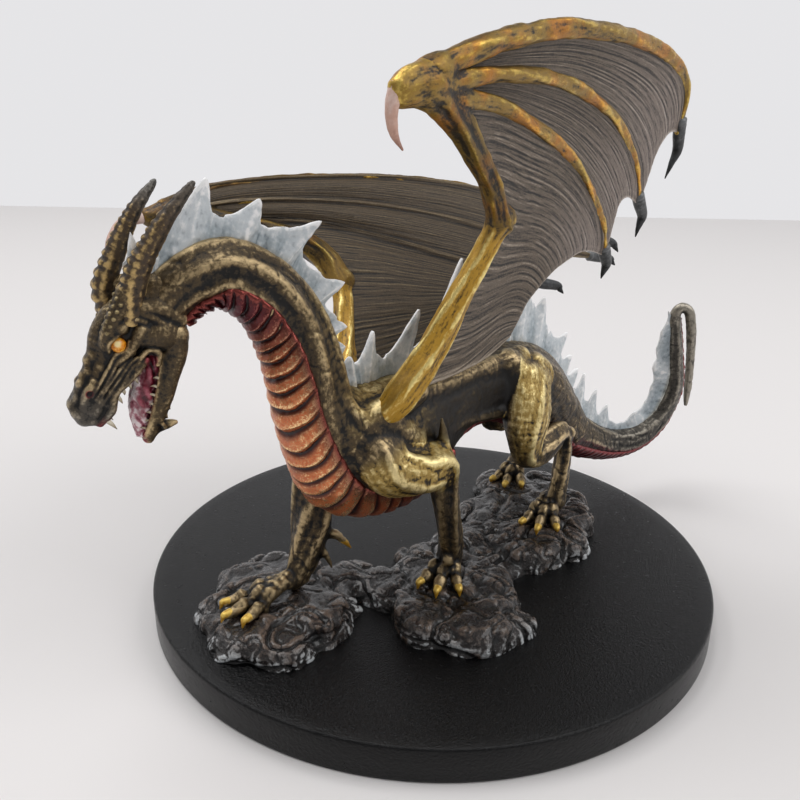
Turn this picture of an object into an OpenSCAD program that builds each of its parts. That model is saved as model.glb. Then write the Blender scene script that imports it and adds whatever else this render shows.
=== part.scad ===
// Painted dragon miniature on a sculpted rock base and a round display disc.
// Origin: centre of the disc's underside. +Z up, the dragon faces -Y, its left side is +X.

/* [Display disc] */
// Diameter of the round display disc
disc_d = 76; // [74:1:80]
// Thickness of the display disc
disc_t = 4.4; // [4:0.1:4.6]
// Height of the small bevel round the disc's two edges
disc_bevel = 0.3; // [0.1:0.1:0.6]

/* [Rocks] */
// Height of the rocks above the disc
rock_h = 3.6; // [3:0.1:3.8]

/* [Dragon] */
// Distance of the dragon's middle plane from the disc's centre, to its left
mid_x = 2.5; // [2:0.1:3]
// Thickness of the wing skin
skin_t = 0.9; // [0.7:0.1:1.2]
// Thickness of the crests at their foot
crest_t = 1.3; // [1:0.1:1.6]
// Radius of an eyeball
eye_r = 0.75; // [0.6:0.05:0.9]

/* [Hidden] */

// Paint colours
bronze = "#4a3f30";
gold = "#a8822c";
copper = "#8c3c20";
crimson = "#6e1c22";
frost = "#a9b4bf";
skin = "#5d544b";
claw_gold = "#c09a30";
slate = "#43474b";
peach = "#d9b7a6";
stone = "#2b2624";
black = "#1d1d1f";

// Directions across the body, across the turned head, and out of each wing
across = [1, 0, 0];
head_across = [0.94, -0.34, 0];
wing_out_left = unit([1, 0.09, -0.22]);
wing_out_right = unit([-0.65, 0.07, -0.75]);

// ---- Curves through hand-placed stations ----

function unit(v) = v / norm(v);
function spot(p) = [p[0], p[1], p[2]];
function pick(k, i) = k[min(max(i, 0), len(k) - 1)];
function bend(a, b, c, d, t) =
    0.5 * (2 * b + (c - a) * t + (2 * a - 5 * b + 4 * c - d) * t * t + (3 * b - a - 3 * c + d) * t * t * t);
// Point at t = 0..1 along the smooth curve through the stations k
function along(k, t) =
    let (s = t * (len(k) - 1), i = min(floor(s), len(k) - 2))
    bend(pick(k, i - 1), pick(k, i), pick(k, i + 1), pick(k, i + 2), s - i);
function smooth(k, count) = [for (i = [0 : count]) along(k, i / count)];
function tangent(p, i) = unit(spot(pick(p, i + 1)) - spot(pick(p, i - 1)));

// One ring round station c: c = [x, y, z, half width, half height]
function ring(c, dir, side, sides) =
    let (u = unit(side - (side * dir) * dir), v = cross(dir, u))
    [for (j = [0 : sides - 1]) let (a = 360 * j / sides)
        spot(c) + u * c[3] * cos(a) + v * c[4] * sin(a)];

// A closed limb swept along stations, with domed ends
module limb(stations, count, sides, side = across) {
    path = smooth(stations, count);
    last = len(path) - 1;
    rings = [for (i = [0 : last]) ring(path[i], tangent(path, i), side, sides)];
    tail_end = spot(path[0]) - tangent(path, 0) * path[0][4] * 0.4;
    tip_end = spot(path[last]) + tangent(path, last) * path[last][4] * 0.4;
    points = concat([for (r = rings) each r], [tail_end, tip_end]);
    a = len(points) - 2;
    b = len(points) - 1;
    faces = concat(
        [for (i = [0 : last - 1]) for (j = [0 : sides - 1]) let (k = (j + 1) % sides)
            each [[i * sides + j, (i + 1) * sides + k, i * sides + k],
                  [i * sides + j, (i + 1) * sides + j, (i + 1) * sides + k]]],
        [for (j = [0 : sides - 1]) [a, j, (j + 1) % sides]],
        [for (j = [0 : sides - 1]) [b, last * sides + (j + 1) % sides, last * sides + j]]
    );
    polyhedron(points, faces);
}

// A closed sheet from a grid of points, given its two faces
module sheet(top, bottom) {
    rows = len(top);
    cols = len(top[0]);
    n = rows * cols;
    points = concat([for (r = top) each r], [for (r = bottom) each r]);
    rim = concat(
        [for (j = [0 : cols - 2]) j],
        [for (i = [0 : rows - 2]) i * cols + cols - 1],
        [for (j = [cols - 1 : -1 : 1]) (rows - 1) * cols + j],
        [for (i = [rows - 1 : -1 : 1]) i * cols]
    );
    faces = concat(
        [for (i = [0 : rows - 2]) for (j = [0 : cols - 2]) let (p = i * cols + j)
            each [[p, p + 1, p + cols + 1], [p, p + cols + 1, p + cols],
                  [n + p, n + p + cols + 1, n + p + 1], [n + p, n + p + cols, n + p + cols + 1]]],
        [for (i = [0 : len(rim) - 1]) let (p = rim[i], q = rim[(i + 1) % len(rim)])
            each [[p, n + p, n + q], [p, n + q, q]]]
    );
    polyhedron(points, faces);
}

// A saw-edged crest: each station is [foot point, tip point]
module crest(stations, side = across) {
    half = side * crest_t / 2;
    left = [for (s = stations) [s[0] + half, (s[0] + s[1]) / 2 + half * 0.7, s[1] + half * 0.4]];
    right = [for (s = stations) [s[0] - half, (s[0] + s[1]) / 2 - half * 0.7, s[1] - half * 0.4]];
    sheet(left, right);
}

// ---- Display disc and rocks ----

module display_disc() {
    r = disc_d / 2;
    b = disc_bevel;
    color(black) rotate_extrude($fn = 180)
        polygon([[0, 0], [r - b, 0], [r, b], [r, disc_t - b], [r - b, disc_t], [0, disc_t]]);
}

// Each boulder is [x, y, radius at the foot, share of the rock height]
boulders = [
    [-7, -29.5, 4, 0.7], [-2, -31, 4.2, 0.8], [2.5, -28.5, 4.3, 0.9], [-5, -24, 5, 1],
    [-10, -24, 4.5, 0.8], [1.5, -22.5, 4.5, 1], [-11.5, -19.5, 4, 0.6], [-6, -18.5, 4.5, 0.8],
    [-0.5, -19, 3.5, 0.7],
    [3, -11.5, 4, 0.6], [-2, -13, 4, 0.6], [4, -6, 4.5, 0.7], [1, -2, 3.5, 0.6],
    [12.3, -13.5, 3.8, 0.9], [9, -11.5, 4.2, 0.8], [17, -10.5, 4.2, 0.9], [18, -7.2, 3.8, 0.7],
    [9, -7, 5, 1], [14, -5, 4.5, 1], [11, -1.5, 4, 0.8],
    [5.5, 3, 4.5, 0.7], [9, 3.5, 3.5, 0.6], [1.5, 4, 4, 0.6],
    [4, 9, 5, 0.8], [10, 9.5, 5, 0.9], [11.3, 14.5, 4.8, 0.9], [8.5, 20, 4.8, 1], [4, 15, 5, 1],
    [5, 24.5, 4.3, 0.8], [-1, 13, 4.5, 0.8], [-1, 20, 5, 1], [0, 26.5, 4.3, 0.8], [-5, 22, 4.5, 0.8]
];

module rock_base() {
    color(stone) translate([0, 0, disc_t])
        for (b = boulders)
            hull() {
                translate([b[0], b[1], 0]) cylinder(r1 = b[2], r2 = b[2] * 0.8, h = rock_h * b[3] * 0.6, $fn = 9);
                translate([b[0], b[1], 0]) cylinder(r1 = b[2] * 0.7, r2 = b[2] * 0.5, h = rock_h * b[3], $fn = 6);
            }
}

// ---- Body: stations are [x, y, z, half width, half height] ----

torso_stations = [
    [mid_x, -21, 27.2, 3.6, 5.2], [mid_x, -18, 27, 5.6, 7.6], [mid_x, -13, 26.6, 6.4, 8.2],
    [mid_x, -8, 27, 6.1, 7.6], [mid_x, -2, 28.6, 5.1, 5.6], [mid_x, 4, 29, 4.7, 5],
    [mid_x, 10, 28.6, 5, 5.6], [mid_x, 16, 26.4, 5.2, 6], [mid_x, 22, 22, 4.4, 5],
    [mid_x, 27, 17, 3.6, 3.9]
];
neck_stations = [
    [mid_x, -16, 25, 5, 5.4], [mid_x, -20, 28.5, 4.6, 4.9], [mid_x, -22.4, 33.5, 4.1, 4.2],
    [mid_x - 0.5, -23.3, 38.5, 3.7, 3.9], [mid_x - 1.5, -24.5, 43, 3.4, 3.6],
    [mid_x - 2.5, -27, 47, 3.1, 3.3], [mid_x - 4, -30.7, 49.2, 2.9, 3.1],
    [mid_x - 5.5, -34, 48.2, 2.7, 2.9], [mid_x - 6.4, -36, 46.3, 2.5, 2.7]
];
tail_stations = [
    [mid_x, 25, 18.5, 3.7, 4], [mid_x, 28, 16, 3.4, 3.7], [3, 33.5, 13, 2.8, 3], [4, 38, 11.2, 2.5, 2.6],
    [5.5, 42, 10.9, 2.2, 2.3], [7, 45.5, 12.2, 2, 2.1]
];
tail_rise_stations = [
    [7, 45.5, 12.2, 2, 2.1], [8, 48.5, 15, 1.8, 1.9], [9, 49.5, 19.6, 1.5, 1.6],
    [9.5, 47.5, 26, 1.2, 1.3], [10, 44.8, 32, 1, 1]
];
tail_tip_stations = [
    [10, 44.8, 32, 1, 1], [10.3, 44.6, 33.4, 0.9, 0.9], [11, 45.2, 34.2, 0.85, 0.85],
    [11.8, 45.9, 33.2, 0.8, 0.8], [12.2, 46.3, 30, 0.75, 0.75], [12.4, 46.5, 25.5, 0.65, 0.65],
    [12.5, 46.5, 20.5, 0.3, 0.3]
];

module torso() { color(bronze) limb(torso_stations, 27, 16); }
module neck() { color(bronze) limb(neck_stations, 30, 12); }
module tail_root() { color(bronze) limb(tail_stations, 16, 10); }
module tail_rise() { color(bronze) limb(tail_rise_stations, 14, 10); }
module tail_tip() { color(bronze) limb(tail_tip_stations, 18, 8, [0.66, -0.75, 0]); }

// Belly plates: a narrow strip let into the underside, stepped once for each plate
module plates(stations, depth, width, count, side = across, sides = 8) {
    steps = count * 3;
    path = smooth(stations, steps);
    strip = [for (i = [0 : steps])
        let (c = path[i], dir = tangent(path, i), u = unit(side - (side * dir) * dir), down = cross(u, dir),
             swell = [0.25, 0.6, 0][i % 3])
        concat(spot(c) + down * c[4] * depth, [c[3] * width + swell * 0.5, c[4] * (1 - depth) + swell])];
    last = len(strip) - 1;
    limb(strip, last, sides, side);
}

// The underside of the neck faces forward and down, the underside of the belly and tail faces down
module neck_scutes() {
    color(copper) plates(neck_stations, 0.42, 0.72, 22);
}

belly_stations = [
    [mid_x, -20, 24, 4, 5], [mid_x, -14, 22.5, 4.6, 5], [mid_x, -9, 23, 4.4, 4.8],
    [mid_x, -3, 26.2, 3.8, 3.6], [mid_x, 4, 27.6, 3.4, 3.6], [mid_x, 12, 27, 3.4, 4.2],
    [mid_x, 20, 22, 3.2, 4.4], [mid_x, 26, 17, 2.8, 3.8]
];
module belly_scutes() {
    color(crimson) plates([for (i = [7 : -1 : 0]) belly_stations[i]], -0.3, 0.8, 18);
}
module tail_scutes_root() {
    color(crimson) plates([for (i = [5 : -1 : 0]) tail_stations[i]], -0.3, 0.72, 12);
}
module tail_scutes_rise() {
    color(crimson) plates([for (i = [3 : -1 : 0]) tail_rise_stations[i]], -0.3, 0.72, 8);
}

// ---- Head ----

skull_stations = [
    [-3.9, -35.4, 46.8, 2.3, 2.5], [-4.9, -38, 45.6, 2.7, 2.9], [-5.6, -40.2, 43.6, 2.6, 2.9],
    [-6.2, -41.6, 41, 2.1, 2.3], [-6.6, -42.8, 38.6, 1.7, 1.9], [-6.9, -43.7, 36.6, 1.3, 1.5]
];
jaw_stations = [
    [-4, -36.4, 42.6, 2, 1.8], [-4.3, -36.9, 39.4, 1.9, 1.6], [-4.6, -37.4, 36.4, 1.5, 1.3],
    [-4.9, -38.2, 33.6, 1.2, 1], [-5, -38.6, 32.4, 0.7, 0.7]
];
tongue_stations = [
    [-4.8, -38.1, 40.8, 1, 0.8], [-5, -38.5, 38.3, 1.1, 1], [-5.2, -39.3, 36.3, 1, 1],
    [-5.3, -39.6, 34.3, 0.6, 0.6]
];

module skull() { color(bronze) limb(skull_stations, 15, 12, head_across); }
module lower_jaw() { color(bronze) limb(jaw_stations, 12, 10, head_across); }
module tongue() { color(crimson) limb(tongue_stations, 8, 8, head_across); }

// Teeth stand in two rows, a row either side of the jaw
tooth_len = 1.1;
module teeth(stations, from, to, gap, lean) {
    for (t = [from : (to - from) / 3 : to + 0.01])
        for (s = [-1, 1])
            let (p = along(stations, t), q = spot(p) + head_across * s * p[3] * gap)
            limb([for (f = [0, 0.5, 1])
                concat(q + lean * tooth_len * f, [0.3 * (1.1 - f), 0.3 * (1.1 - f)])], 2, 5, head_across);
}
module teeth_upper() { color("ivory") teeth(skull_stations, 0.62, 0.94, 0.75, [0.3, 0.6, -2]); }
module teeth_lower() { color("ivory") teeth(jaw_stations, 0.4, 0.88, 0.75, [-0.3, -1.3, 0.2]); }

eye_pos = [-5.8, -40.8, 43.1];
module eye(s) { color("orange") translate(eye_pos + head_across * s * 2) sphere(eye_r, $fn = 32); }
module eye_left() { eye(1); }
module eye_right() { eye(-1); }

// Horns sweep up and back from behind the brow: stations are [x, y, z, half width, half height]
horn_left_stations = [
    [-3.9, -40.1, 45.6, 1.3, 1.3], [-3.4, -39.9, 48, 1.3, 1.3], [-2.9, -39, 50.6, 1.2, 1.2],
    [-2.3, -37.8, 52.8, 1.05, 1.05], [-1.8, -36.3, 55, 0.9, 0.9], [-0.8, -33.7, 58.3, 0.3, 0.3]
];
horn_right_stations = [
    [-7.6, -39.8, 45.2, 1.3, 1.3], [-7.9, -40.3, 47.8, 1.2, 1.2], [-7.5, -39.2, 50.8, 1.1, 1.1],
    [-7, -38, 53.4, 0.95, 0.95], [-6.6, -36.8, 55.4, 0.85, 0.85], [-5.9, -34.8, 58.2, 0.3, 0.3]
];
module horn_left() { color(bronze) limb(horn_left_stations, 20, 10, head_across); }
module horn_right() { color(bronze) limb(horn_right_stations, 20, 10, head_across); }

// Pale spines on the back of the skull, between the horns
module head_frills() {
    color(frost) crest([
        [[-4.8, -38.3, 47.2], [-4.6, -39.6, 50.5]], [[-4.6, -37.8, 47.6], [-4.2, -38.2, 53]],
        [[-4.4, -37.2, 48], [-4.2, -37.4, 50.5]], [[-4.2, -36.6, 48.2], [-3.6, -36.2, 54.5]],
        [[-4, -36, 48.4], [-3.8, -35.8, 51.5]]
    ], head_across);
}

// ---- Crests: pairs of foot point and tip point ----

module neck_crest() {
    color(frost) crest([
        [[-3.9, -36, 48.4], [-3.9, -36.7, 49.2]], [[-3.6, -35, 50], [-3.6, -35.6, 52]],
        [[-3, -33.6, 51], [-2.4, -31.4, 58]], [[-2.2, -31.8, 51.6], [-2, -31, 55]],
        [[-1.6, -30.2, 51.8], [-1.6, -29.8, 54.7]], [[-1.2, -28.8, 51.6], [-0.8, -26.4, 55.8]],
        [[-0.8, -27.4, 51], [-0.5, -26.2, 53.4]], [[-0.4, -25.8, 50.2], [0.1, -23.9, 53.2]],
        [[0, -24.8, 49], [0.9, -19.8, 53]], [[0.2, -23.8, 48], [0.6, -22, 51.2]],
        [[0.5, -23.2, 47], [0.8, -21.8, 49.4]], [[0.8, -22.4, 45.8], [1.2, -20.2, 48]],
        [[1, -21.8, 44.6], [1.6, -17.6, 46.2]], [[1.2, -21.2, 43.4], [1.6, -20, 44.4]],
        [[1.4, -20.8, 42.4], [1.8, -18.6, 43]], [[1.6, -20.4, 41.4], [2, -17.6, 41.4]],
        [[1.8, -20, 40.4], [2, -19.2, 40.6]], [[2, -19.6, 39.4], [2.2, -18, 39.4]],
        [[2.3, -19, 37.4], [2.4, -18.4, 37.6]]
    ]);
}
// Stations in the middle plane, [foot y, foot z, tip y, tip z]
back_profile = [
    [-18.4, 35.6, -18.6, 37.4], [-17, 35.2, -17.4, 37.8], [-16, 34.8, -16.4, 37.2],
    [-15, 34.6, -13.8, 40.2], [-13, 34.4, -13.2, 37.6], [-11.6, 34.2, -11.4, 37],
    [-9.6, 34, -6, 41.4], [-7.6, 33.8, -7, 37.4], [-5.4, 33.6, -5, 37.6], [-3.4, 33.6, 1.4, 46.4],
    [-0.6, 33.6, 0.4, 39.6], [2.4, 33.6, 3.2, 39.4], [4.6, 33.6, 8.4, 44], [7, 33.6, 7.6, 38.4],
    [10, 33.6, 10.6, 38], [12, 33.6, 12.4, 36.4]
];
hip_profile = [
    [12.6, 33.6, 13, 35.2], [14, 33.2, 15, 39.4], [16.2, 31.6, 17.4, 40], [18, 30, 19.4, 38.2],
    [19.8, 28, 22, 34.6], [21.4, 26, 25.4, 30], [22.8, 24, 24.6, 28], [24.2, 22.2, 27.2, 27.2],
    [25.6, 20.4, 27.4, 24.6], [27, 18.8, 29.2, 25]
];
function in_middle(profile) = [for (p = profile) [[mid_x, p[0], p[1]], [mid_x, p[2], p[3]]]];
module back_crest() { color(frost) crest(in_middle(back_profile)); }
module hip_crest() { color(frost) crest(in_middle(hip_profile)); }

module tail_crest_root() {
    color(frost) crest([
        [[mid_x, 28.2, 17.6], [2.7, 29.8, 22.6]], [[2.8, 30, 16.6], [2.8, 31.6, 24]],
        [[2.9, 31.6, 15.8], [3, 32.6, 20]], [[3, 33, 15.2], [3.1, 34.4, 21]],
        [[3.4, 35, 14.2], [3.5, 35.6, 17]], [[3.6, 36.4, 13.6], [3.8, 37.4, 17.6]],
        [[4, 38, 13], [4.2, 38.6, 15]], [[5.2, 41, 12.4], [5.2, 40.8, 14.4]],
        [[6.4, 43.6, 13], [6, 42.6, 15.2]]
    ]);
}
module tail_crest_rise() {
    color(frost) crest([
        [[6.6, 44, 13.4], [6.2, 42.8, 15.4]], [[7.6, 46.4, 15.6], [7, 44.8, 17.4]],
        [[8.4, 47.8, 18.6], [7.8, 46, 19.8]], [[8.9, 47.6, 22], [8.3, 45.4, 22.8]],
        [[9.2, 46.8, 25], [8.7, 44.8, 26.4]], [[9.5, 45.6, 28.4], [9.2, 43.8, 29.8]],
        [[9.9, 44.2, 32], [9.8, 43, 33.4]]
    ]);
}

// ---- Legs: stations are [x, y, z, half width, half height] ----

foreleg_left_stations = [
    [7.2, -18, 28, 2.8, 3], [8.6, -16.6, 25.8, 2.9, 3], [9.5, -13.2, 24.8, 2.7, 2.8],
    [9.6, -10, 24.6, 2.3, 2.5], [9.3, -8.8, 21.8, 1.5, 1.7], [9, -7.8, 17, 1.3, 1.4],
    [8.6, -6.4, 12.4, 1.5, 1.6], [8, -5.2, 9.4, 1.8, 1.6]
];
foreleg_right_stations = [
    [-2.6, -16, 27, 2.8, 3.6], [-3.4, -17, 22.5, 2.4, 2.8], [-3.6, -17.2, 18.4, 2.1, 2.3],
    [-3.4, -17.6, 15.6, 2, 2.1], [-3, -19.6, 12.4, 1.7, 1.7], [-2.8, -21.8, 9.4, 1.7, 1.5]
];
hindleg_left_stations = [
    [6.6, 11.5, 29.5, 2.6, 4.4], [7.8, 9.6, 25.5, 3, 4], [8.4, 8.6, 21.4, 2.4, 2.8],
    [8.5, 9.6, 18.8, 2, 2.1], [8.3, 13.6, 19.4, 1.9, 2.1], [8, 18, 20, 1.5, 1.7],
    [8.1, 19.2, 17, 1.3, 1.4], [8.3, 18.4, 12.5, 1.3, 1.4], [8.5, 17.6, 9.2, 1.6, 1.5]
];
hindleg_right_stations = [
    [-1.4, 16, 28, 2.6, 4.2], [-2.8, 16.4, 24.5, 3, 3.8], [-3.6, 17.4, 20.6, 2.4, 2.6],
    [-3.8, 18.6, 18.6, 2, 2], [-3.8, 21.4, 19, 1.8, 1.9], [-3.8, 25, 19.4, 1.5, 1.6],
    [-4, 26, 16.6, 1.3, 1.4], [-4.2, 25.8, 12.5, 1.3, 1.4], [-4.2, 25.2, 9.2, 1.6, 1.5]
];

// Point of the left elbow, and the spur and short rear toe above the right forefoot
elbow_point_stations = [[9.3, -8.8, 24.5, 1.4, 1.4], [9.4, -8.8, 28, 1, 1], [9.4, -9.4, 31.2, 0.2, 0.2]];
spur_stations = [[-3, -18.4, 14.4, 0.9, 0.9], [-2, -16.4, 13.2, 0.7, 0.7], [-1.5, -15.2, 12, 0.4, 0.4]];
spur_claw_stations = [[-1.7, -15.6, 12.4, 0.55, 0.55], [-1.3, -14.7, 11.4, 0.4, 0.4], [-1.1, -14, 10.2, 0.1, 0.1]];
rear_toe_stations = [[-2.4, -19.2, 12.8, 0.7, 0.7], [-1.5, -18.2, 11.2, 0.5, 0.5], [-1, -17.6, 9.2, 0.15, 0.15]];

// A foot is [ankle, heading, reach to the claw tips, spread of the outer toes].
// Heading 0 points along -Y and a positive heading turns to the dragon's left.
feet = [
    [[7.4, -4.6, 8.8], 28, 6.8, 25], [[-2.9, -22.6, 8.8], -4, 9.6, 16],
    [[7, 18, 8.8], 24, 7.6, 22], [[-4.3, 25, 8.8], 22, 6.6, 24]
];
toe_h = 7.8;
claw_share = 0.3;
function toe_at(foot, side, f) =
    let (a = foot[1] + side * foot[3], run = foot[2] * (side == 0 ? 1.05 : 0.95) * f)
    foot[0] + [sin(a) * run, -cos(a) * run, (toe_h - foot[0][2]) * min(f * 1.4, 1)];

module toes(foot) {
    for (side = [-1, 0, 1])
        limb([for (f = [0, 0.25, 0.5, 1 - claw_share])
            concat(toe_at(foot, side, f), [1.2 - 0.5 * f, 1.25 - 0.6 * f])], 8, 7);
}
module claws(foot) {
    for (side = [-1, 0, 1])
        let (a = toe_at(foot, side, 0.93 - claw_share), b = toe_at(foot, side, 1))
        limb([concat(a, [0.65, 0.65]), concat((a + b) / 2 + [0, 0, 0.2], [0.5, 0.5]),
              concat(b - [0, 0, 0.6], [0.12, 0.12])], 6, 6);
}

module leg(i, stations) {
    color(bronze) {
        limb(stations, 22, 10);
        toes(feet[i]);
    }
}
module foreleg_left() {
    leg(0, foreleg_left_stations);
    color(bronze) limb(elbow_point_stations, 6, 7);
}
module foreleg_right() {
    leg(1, foreleg_right_stations);
    color(bronze) limb(spur_stations, 5, 7);
    color(bronze) limb(rear_toe_stations, 5, 6);
}
module hindleg_left() { leg(2, hindleg_left_stations); }
module hindleg_right() { leg(3, hindleg_right_stations); }
module claws_fore_left() { color(claw_gold) claws(feet[0]); }
module claws_fore_right() {
    color(claw_gold) claws(feet[1]);
    color(claw_gold) limb(spur_claw_stations, 5, 6);
}
module claws_hind_left() { color(claw_gold) claws(feet[2]); }
module claws_hind_right() { color(claw_gold) claws(feet[3]); }

// ---- Wings: stations are [x, y, z, half width, half height] ----

humerus_left_stations = [
    [7.6, -16.2, 32.5, 1.5, 1.6], [8.4, -14.6, 34.6, 1.7, 1.8], [9.4, -11.6, 38.9, 1.5, 1.6],
    [10.3, -8.8, 43.6, 1.3, 1.4], [11.4, -6, 48.6, 1.2, 1.3], [12.4, -4, 52.8, 1.3, 1.5]
];
forearm_left_stations = [
    [12.4, -4, 52.8, 1.3, 1.5], [13.5, -7.2, 57, 1.1, 1.2], [14.8, -12.2, 61.4, 1.1, 1.2],
    [16, -17, 64.8, 1.4, 1.6], [17, -21.6, 67.2, 1.7, 2.1], [17.5, -25, 67, 1.3, 1.5]
];
fingers_left = [
    [[17, -21, 67.8], [17.2, -16.1, 69.6], [16.7, -8.1, 71.2], [16, 2.2, 72.4], [14.9, 14.9, 72],
     [13.3, 28.4, 70], [11.6, 36.6, 66.4], [10.4, 37.6, 62]],
    [[17, -20, 66.6], [16.4, -12, 67.8], [15.6, -2, 67.6], [14, 8.4, 66], [12.2, 19, 62.2],
     [10.2, 27.6, 56.6], [8.8, 32, 51]],
    [[16.8, -19, 65.8], [15.6, -10, 65.2], [14.2, -1, 62.6], [12.4, 8.6, 59], [10.7, 16.6, 53.9],
     [9, 22.8, 48.8], [7.8, 25.8, 44.4]]
];
// Edges of the skin behind the last finger: along the elbow and along the body
skin_edges_left = [
    [[12.4, -4, 52.8], [11.4, 1, 50.6], [10.4, 5.6, 48], [9.4, 10.4, 44.6]],
    [[8.6, -12.4, 34.8], [8, -5.6, 34.6], [7.6, 0.6, 35.2], [7.6, 5.4, 37]]
];

humerus_right_stations = [
    [-2.6, -14, 31, 1.5, 1.6], [-5, -11.6, 32.2, 1.7, 1.7], [-8, -8.6, 35.8, 1.4, 1.5],
    [-11, -6, 39.6, 1.2, 1.3], [-12.8, -5, 41.8, 1.3, 1.5]
];
forearm_right_stations = [
    [-12.8, -5, 41.8, 1.3, 1.5], [-15.7, -5.2, 44.8, 1.2, 1.3], [-18.4, -8.4, 47.4, 1.1, 1.2],
    [-21, -15, 49.8, 1.1, 1.2], [-23.2, -22.4, 51.6, 1.3, 1.7], [-23.8, -26, 51.4, 1, 1.3]
];
fingers_right = [
    [[-23.6, -23.6, 52.6], [-24.7, -16.3, 53.8], [-24.1, -7, 54.2], [-22.4, 5, 53.9], [-20.2, 16, 53],
     [-17.1, 28.5, 50.8], [-12.8, 40, 47], [-7.2, 49.4, 41.8]],
    [[-23, -22, 51.6], [-22.6, -14, 52], [-21.4, -4, 51.4], [-19, 7.4, 50], [-15.6, 19, 47.4],
     [-10.8, 32, 43.4], [-5.6, 46, 39.4]],
    [[-22.6, -21, 50.8], [-21.4, -13, 50], [-19.4, -4, 48.6], [-16, 6, 45.8], [-12.2, 14.6, 42.8],
     [-8.4, 23, 39.8], [-5.4, 30.4, 37.4]]
];
skin_edges_right = [
    [[-12.8, -5, 41.8], [-10.6, 2, 40.4], [-8.2, 9, 38.6], [-6, 16, 36.8]],
    [[-4, -11, 32.4], [-3.6, -4, 33], [-3.2, 3, 33.6], [-3, 8, 34.6]]
];

// Claw at the end of a finger runs on from its last stations and bends down
module tip_claw(finger, drop, out) {
    n = len(finger) - 1;
    go = unit(finger[n] - finger[n - 1]);
    limb([concat(finger[n] - go * 0.6, [0.75, 0.6]), concat(finger[n] + go * 3 + out * 0.2, [0.7, 0.55]),
          concat(finger[n] + go * 5.4 + [0, 0, -drop * 0.5], [0.5, 0.4]),
          concat(finger[n] + go * 7.4 + [0, 0, -drop], [0.12, 0.12])], 8, 7, out);
}

// Bone of a finger: thick at the wrist, thin at the claw
module finger_bone(finger, thick, out) {
    n = len(finger) - 1;
    limb([for (i = [0 : n]) concat(finger[i], [1, 1] * (thick * (1 - 0.55 * i / n)))], 3 * n, 7, out);
}

// The skin spans from ray to ray. Between two rays it sags inwards and its free edge is scalloped.
rays_per_panel = 4;
skin_cols = 10;
function wing_rays(fingers, edges) = concat(fingers, edges);
function ray_point(rays, s, t, scallop) =
    let (i = min(floor(s), len(rays) - 2), f = s - i, reach = t * (1 - scallop[i] * sin(180 * f)))
    along(rays[i], reach) * (1 - f) + along(rays[i + 1], reach) * f;
function skin_grid(rays, out, shift, sag, scallop) =
    [for (r = [0 : (len(rays) - 1) * rays_per_panel])
        let (s = r / rays_per_panel)
        [for (c = [0 : skin_cols]) let (t = c / skin_cols)
            ray_point(rays, s, t, scallop)
                + out * (shift - sag * sin(180 * (s - floor(s))) * sin(180 * t))]];

scallops = [0.1, 0.14, 0.1, 0.08];
module wing_skin(fingers, edges, out, s) {
    rays = wing_rays(fingers, edges);
    color(skin) sheet(skin_grid(rays, out, s * skin_t / 2, 0.8, scallops),
                      skin_grid(rays, out, -s * skin_t / 2, 0.8, scallops));
}

module wing_humerus_left() { color(gold) limb(humerus_left_stations, 15, 10, wing_out_left); }
module wing_forearm_left() { color(gold) limb(forearm_left_stations, 15, 10, wing_out_left); }
module wing_fingers_left() { color(gold) for (f = fingers_left) finger_bone(f, 1.1, wing_out_left); }
module wing_skin_left() { wing_skin(fingers_left, skin_edges_left, wing_out_left, 1); }
module wing_claws_left() { color(slate) for (f = fingers_left) tip_claw(f, 1.5, wing_out_left); }
module thumb_claw_left() {
    color(peach) limb([[17.3, -24.6, 67, 0.9, 0.9], [17.2, -25.4, 65, 0.7, 0.7],
        [16.7, -24.8, 63, 0.5, 0.5], [16, -23, 61.4, 0.15, 0.15]], 9, 8, wing_out_left);
}

module wing_humerus_right() { color(gold) limb(humerus_right_stations, 15, 10, wing_out_right); }
module wing_forearm_right() { color(gold) limb(forearm_right_stations, 15, 10, wing_out_right); }
module wing_fingers_right() { color(gold) for (f = fingers_right) finger_bone(f, 1.1, wing_out_right); }
module wing_skin_right() { wing_skin(fingers_right, skin_edges_right, wing_out_right, -1); }
module wing_claws_right() { color(slate) for (f = fingers_right) tip_claw(f, 0.8, wing_out_right); }
module thumb_claw_right() {
    color(peach) limb([[-23.8, -27, 51.6, 0.9, 0.9], [-24, -30.2, 51, 0.7, 0.7],
        [-22.9, -32.2, 49.8, 0.5, 0.5], [-21.9, -32.9, 48.4, 0.15, 0.15]], 9, 8, wing_out_right);
}

display_disc();
rock_base();
torso();
neck();
neck_scutes();
belly_scutes();
tail_root();
tail_rise();
tail_tip();
tail_scutes_root();
tail_scutes_rise();
skull();
lower_jaw();
tongue();
teeth_upper();
teeth_lower();
eye_left();
eye_right();
horn_left();
horn_right();
head_frills();
neck_crest();
back_crest();
hip_crest();
tail_crest_root();
tail_crest_rise();
foreleg_left();
foreleg_right();
hindleg_left();
hindleg_right();
claws_fore_left();
claws_fore_right();
claws_hind_left();
claws_hind_right();
wing_humerus_left();
wing_forearm_left();
wing_fingers_left();
wing_skin_left();
wing_claws_left();
thumb_claw_left();
wing_humerus_right();
wing_forearm_right();
wing_fingers_right();
wing_skin_right();
wing_claws_right();
thumb_claw_right();
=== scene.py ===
"""Painted dragon miniature: sculpted pieces and paint over the CAD frame. Lengths are in millimetres."""
import math

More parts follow.
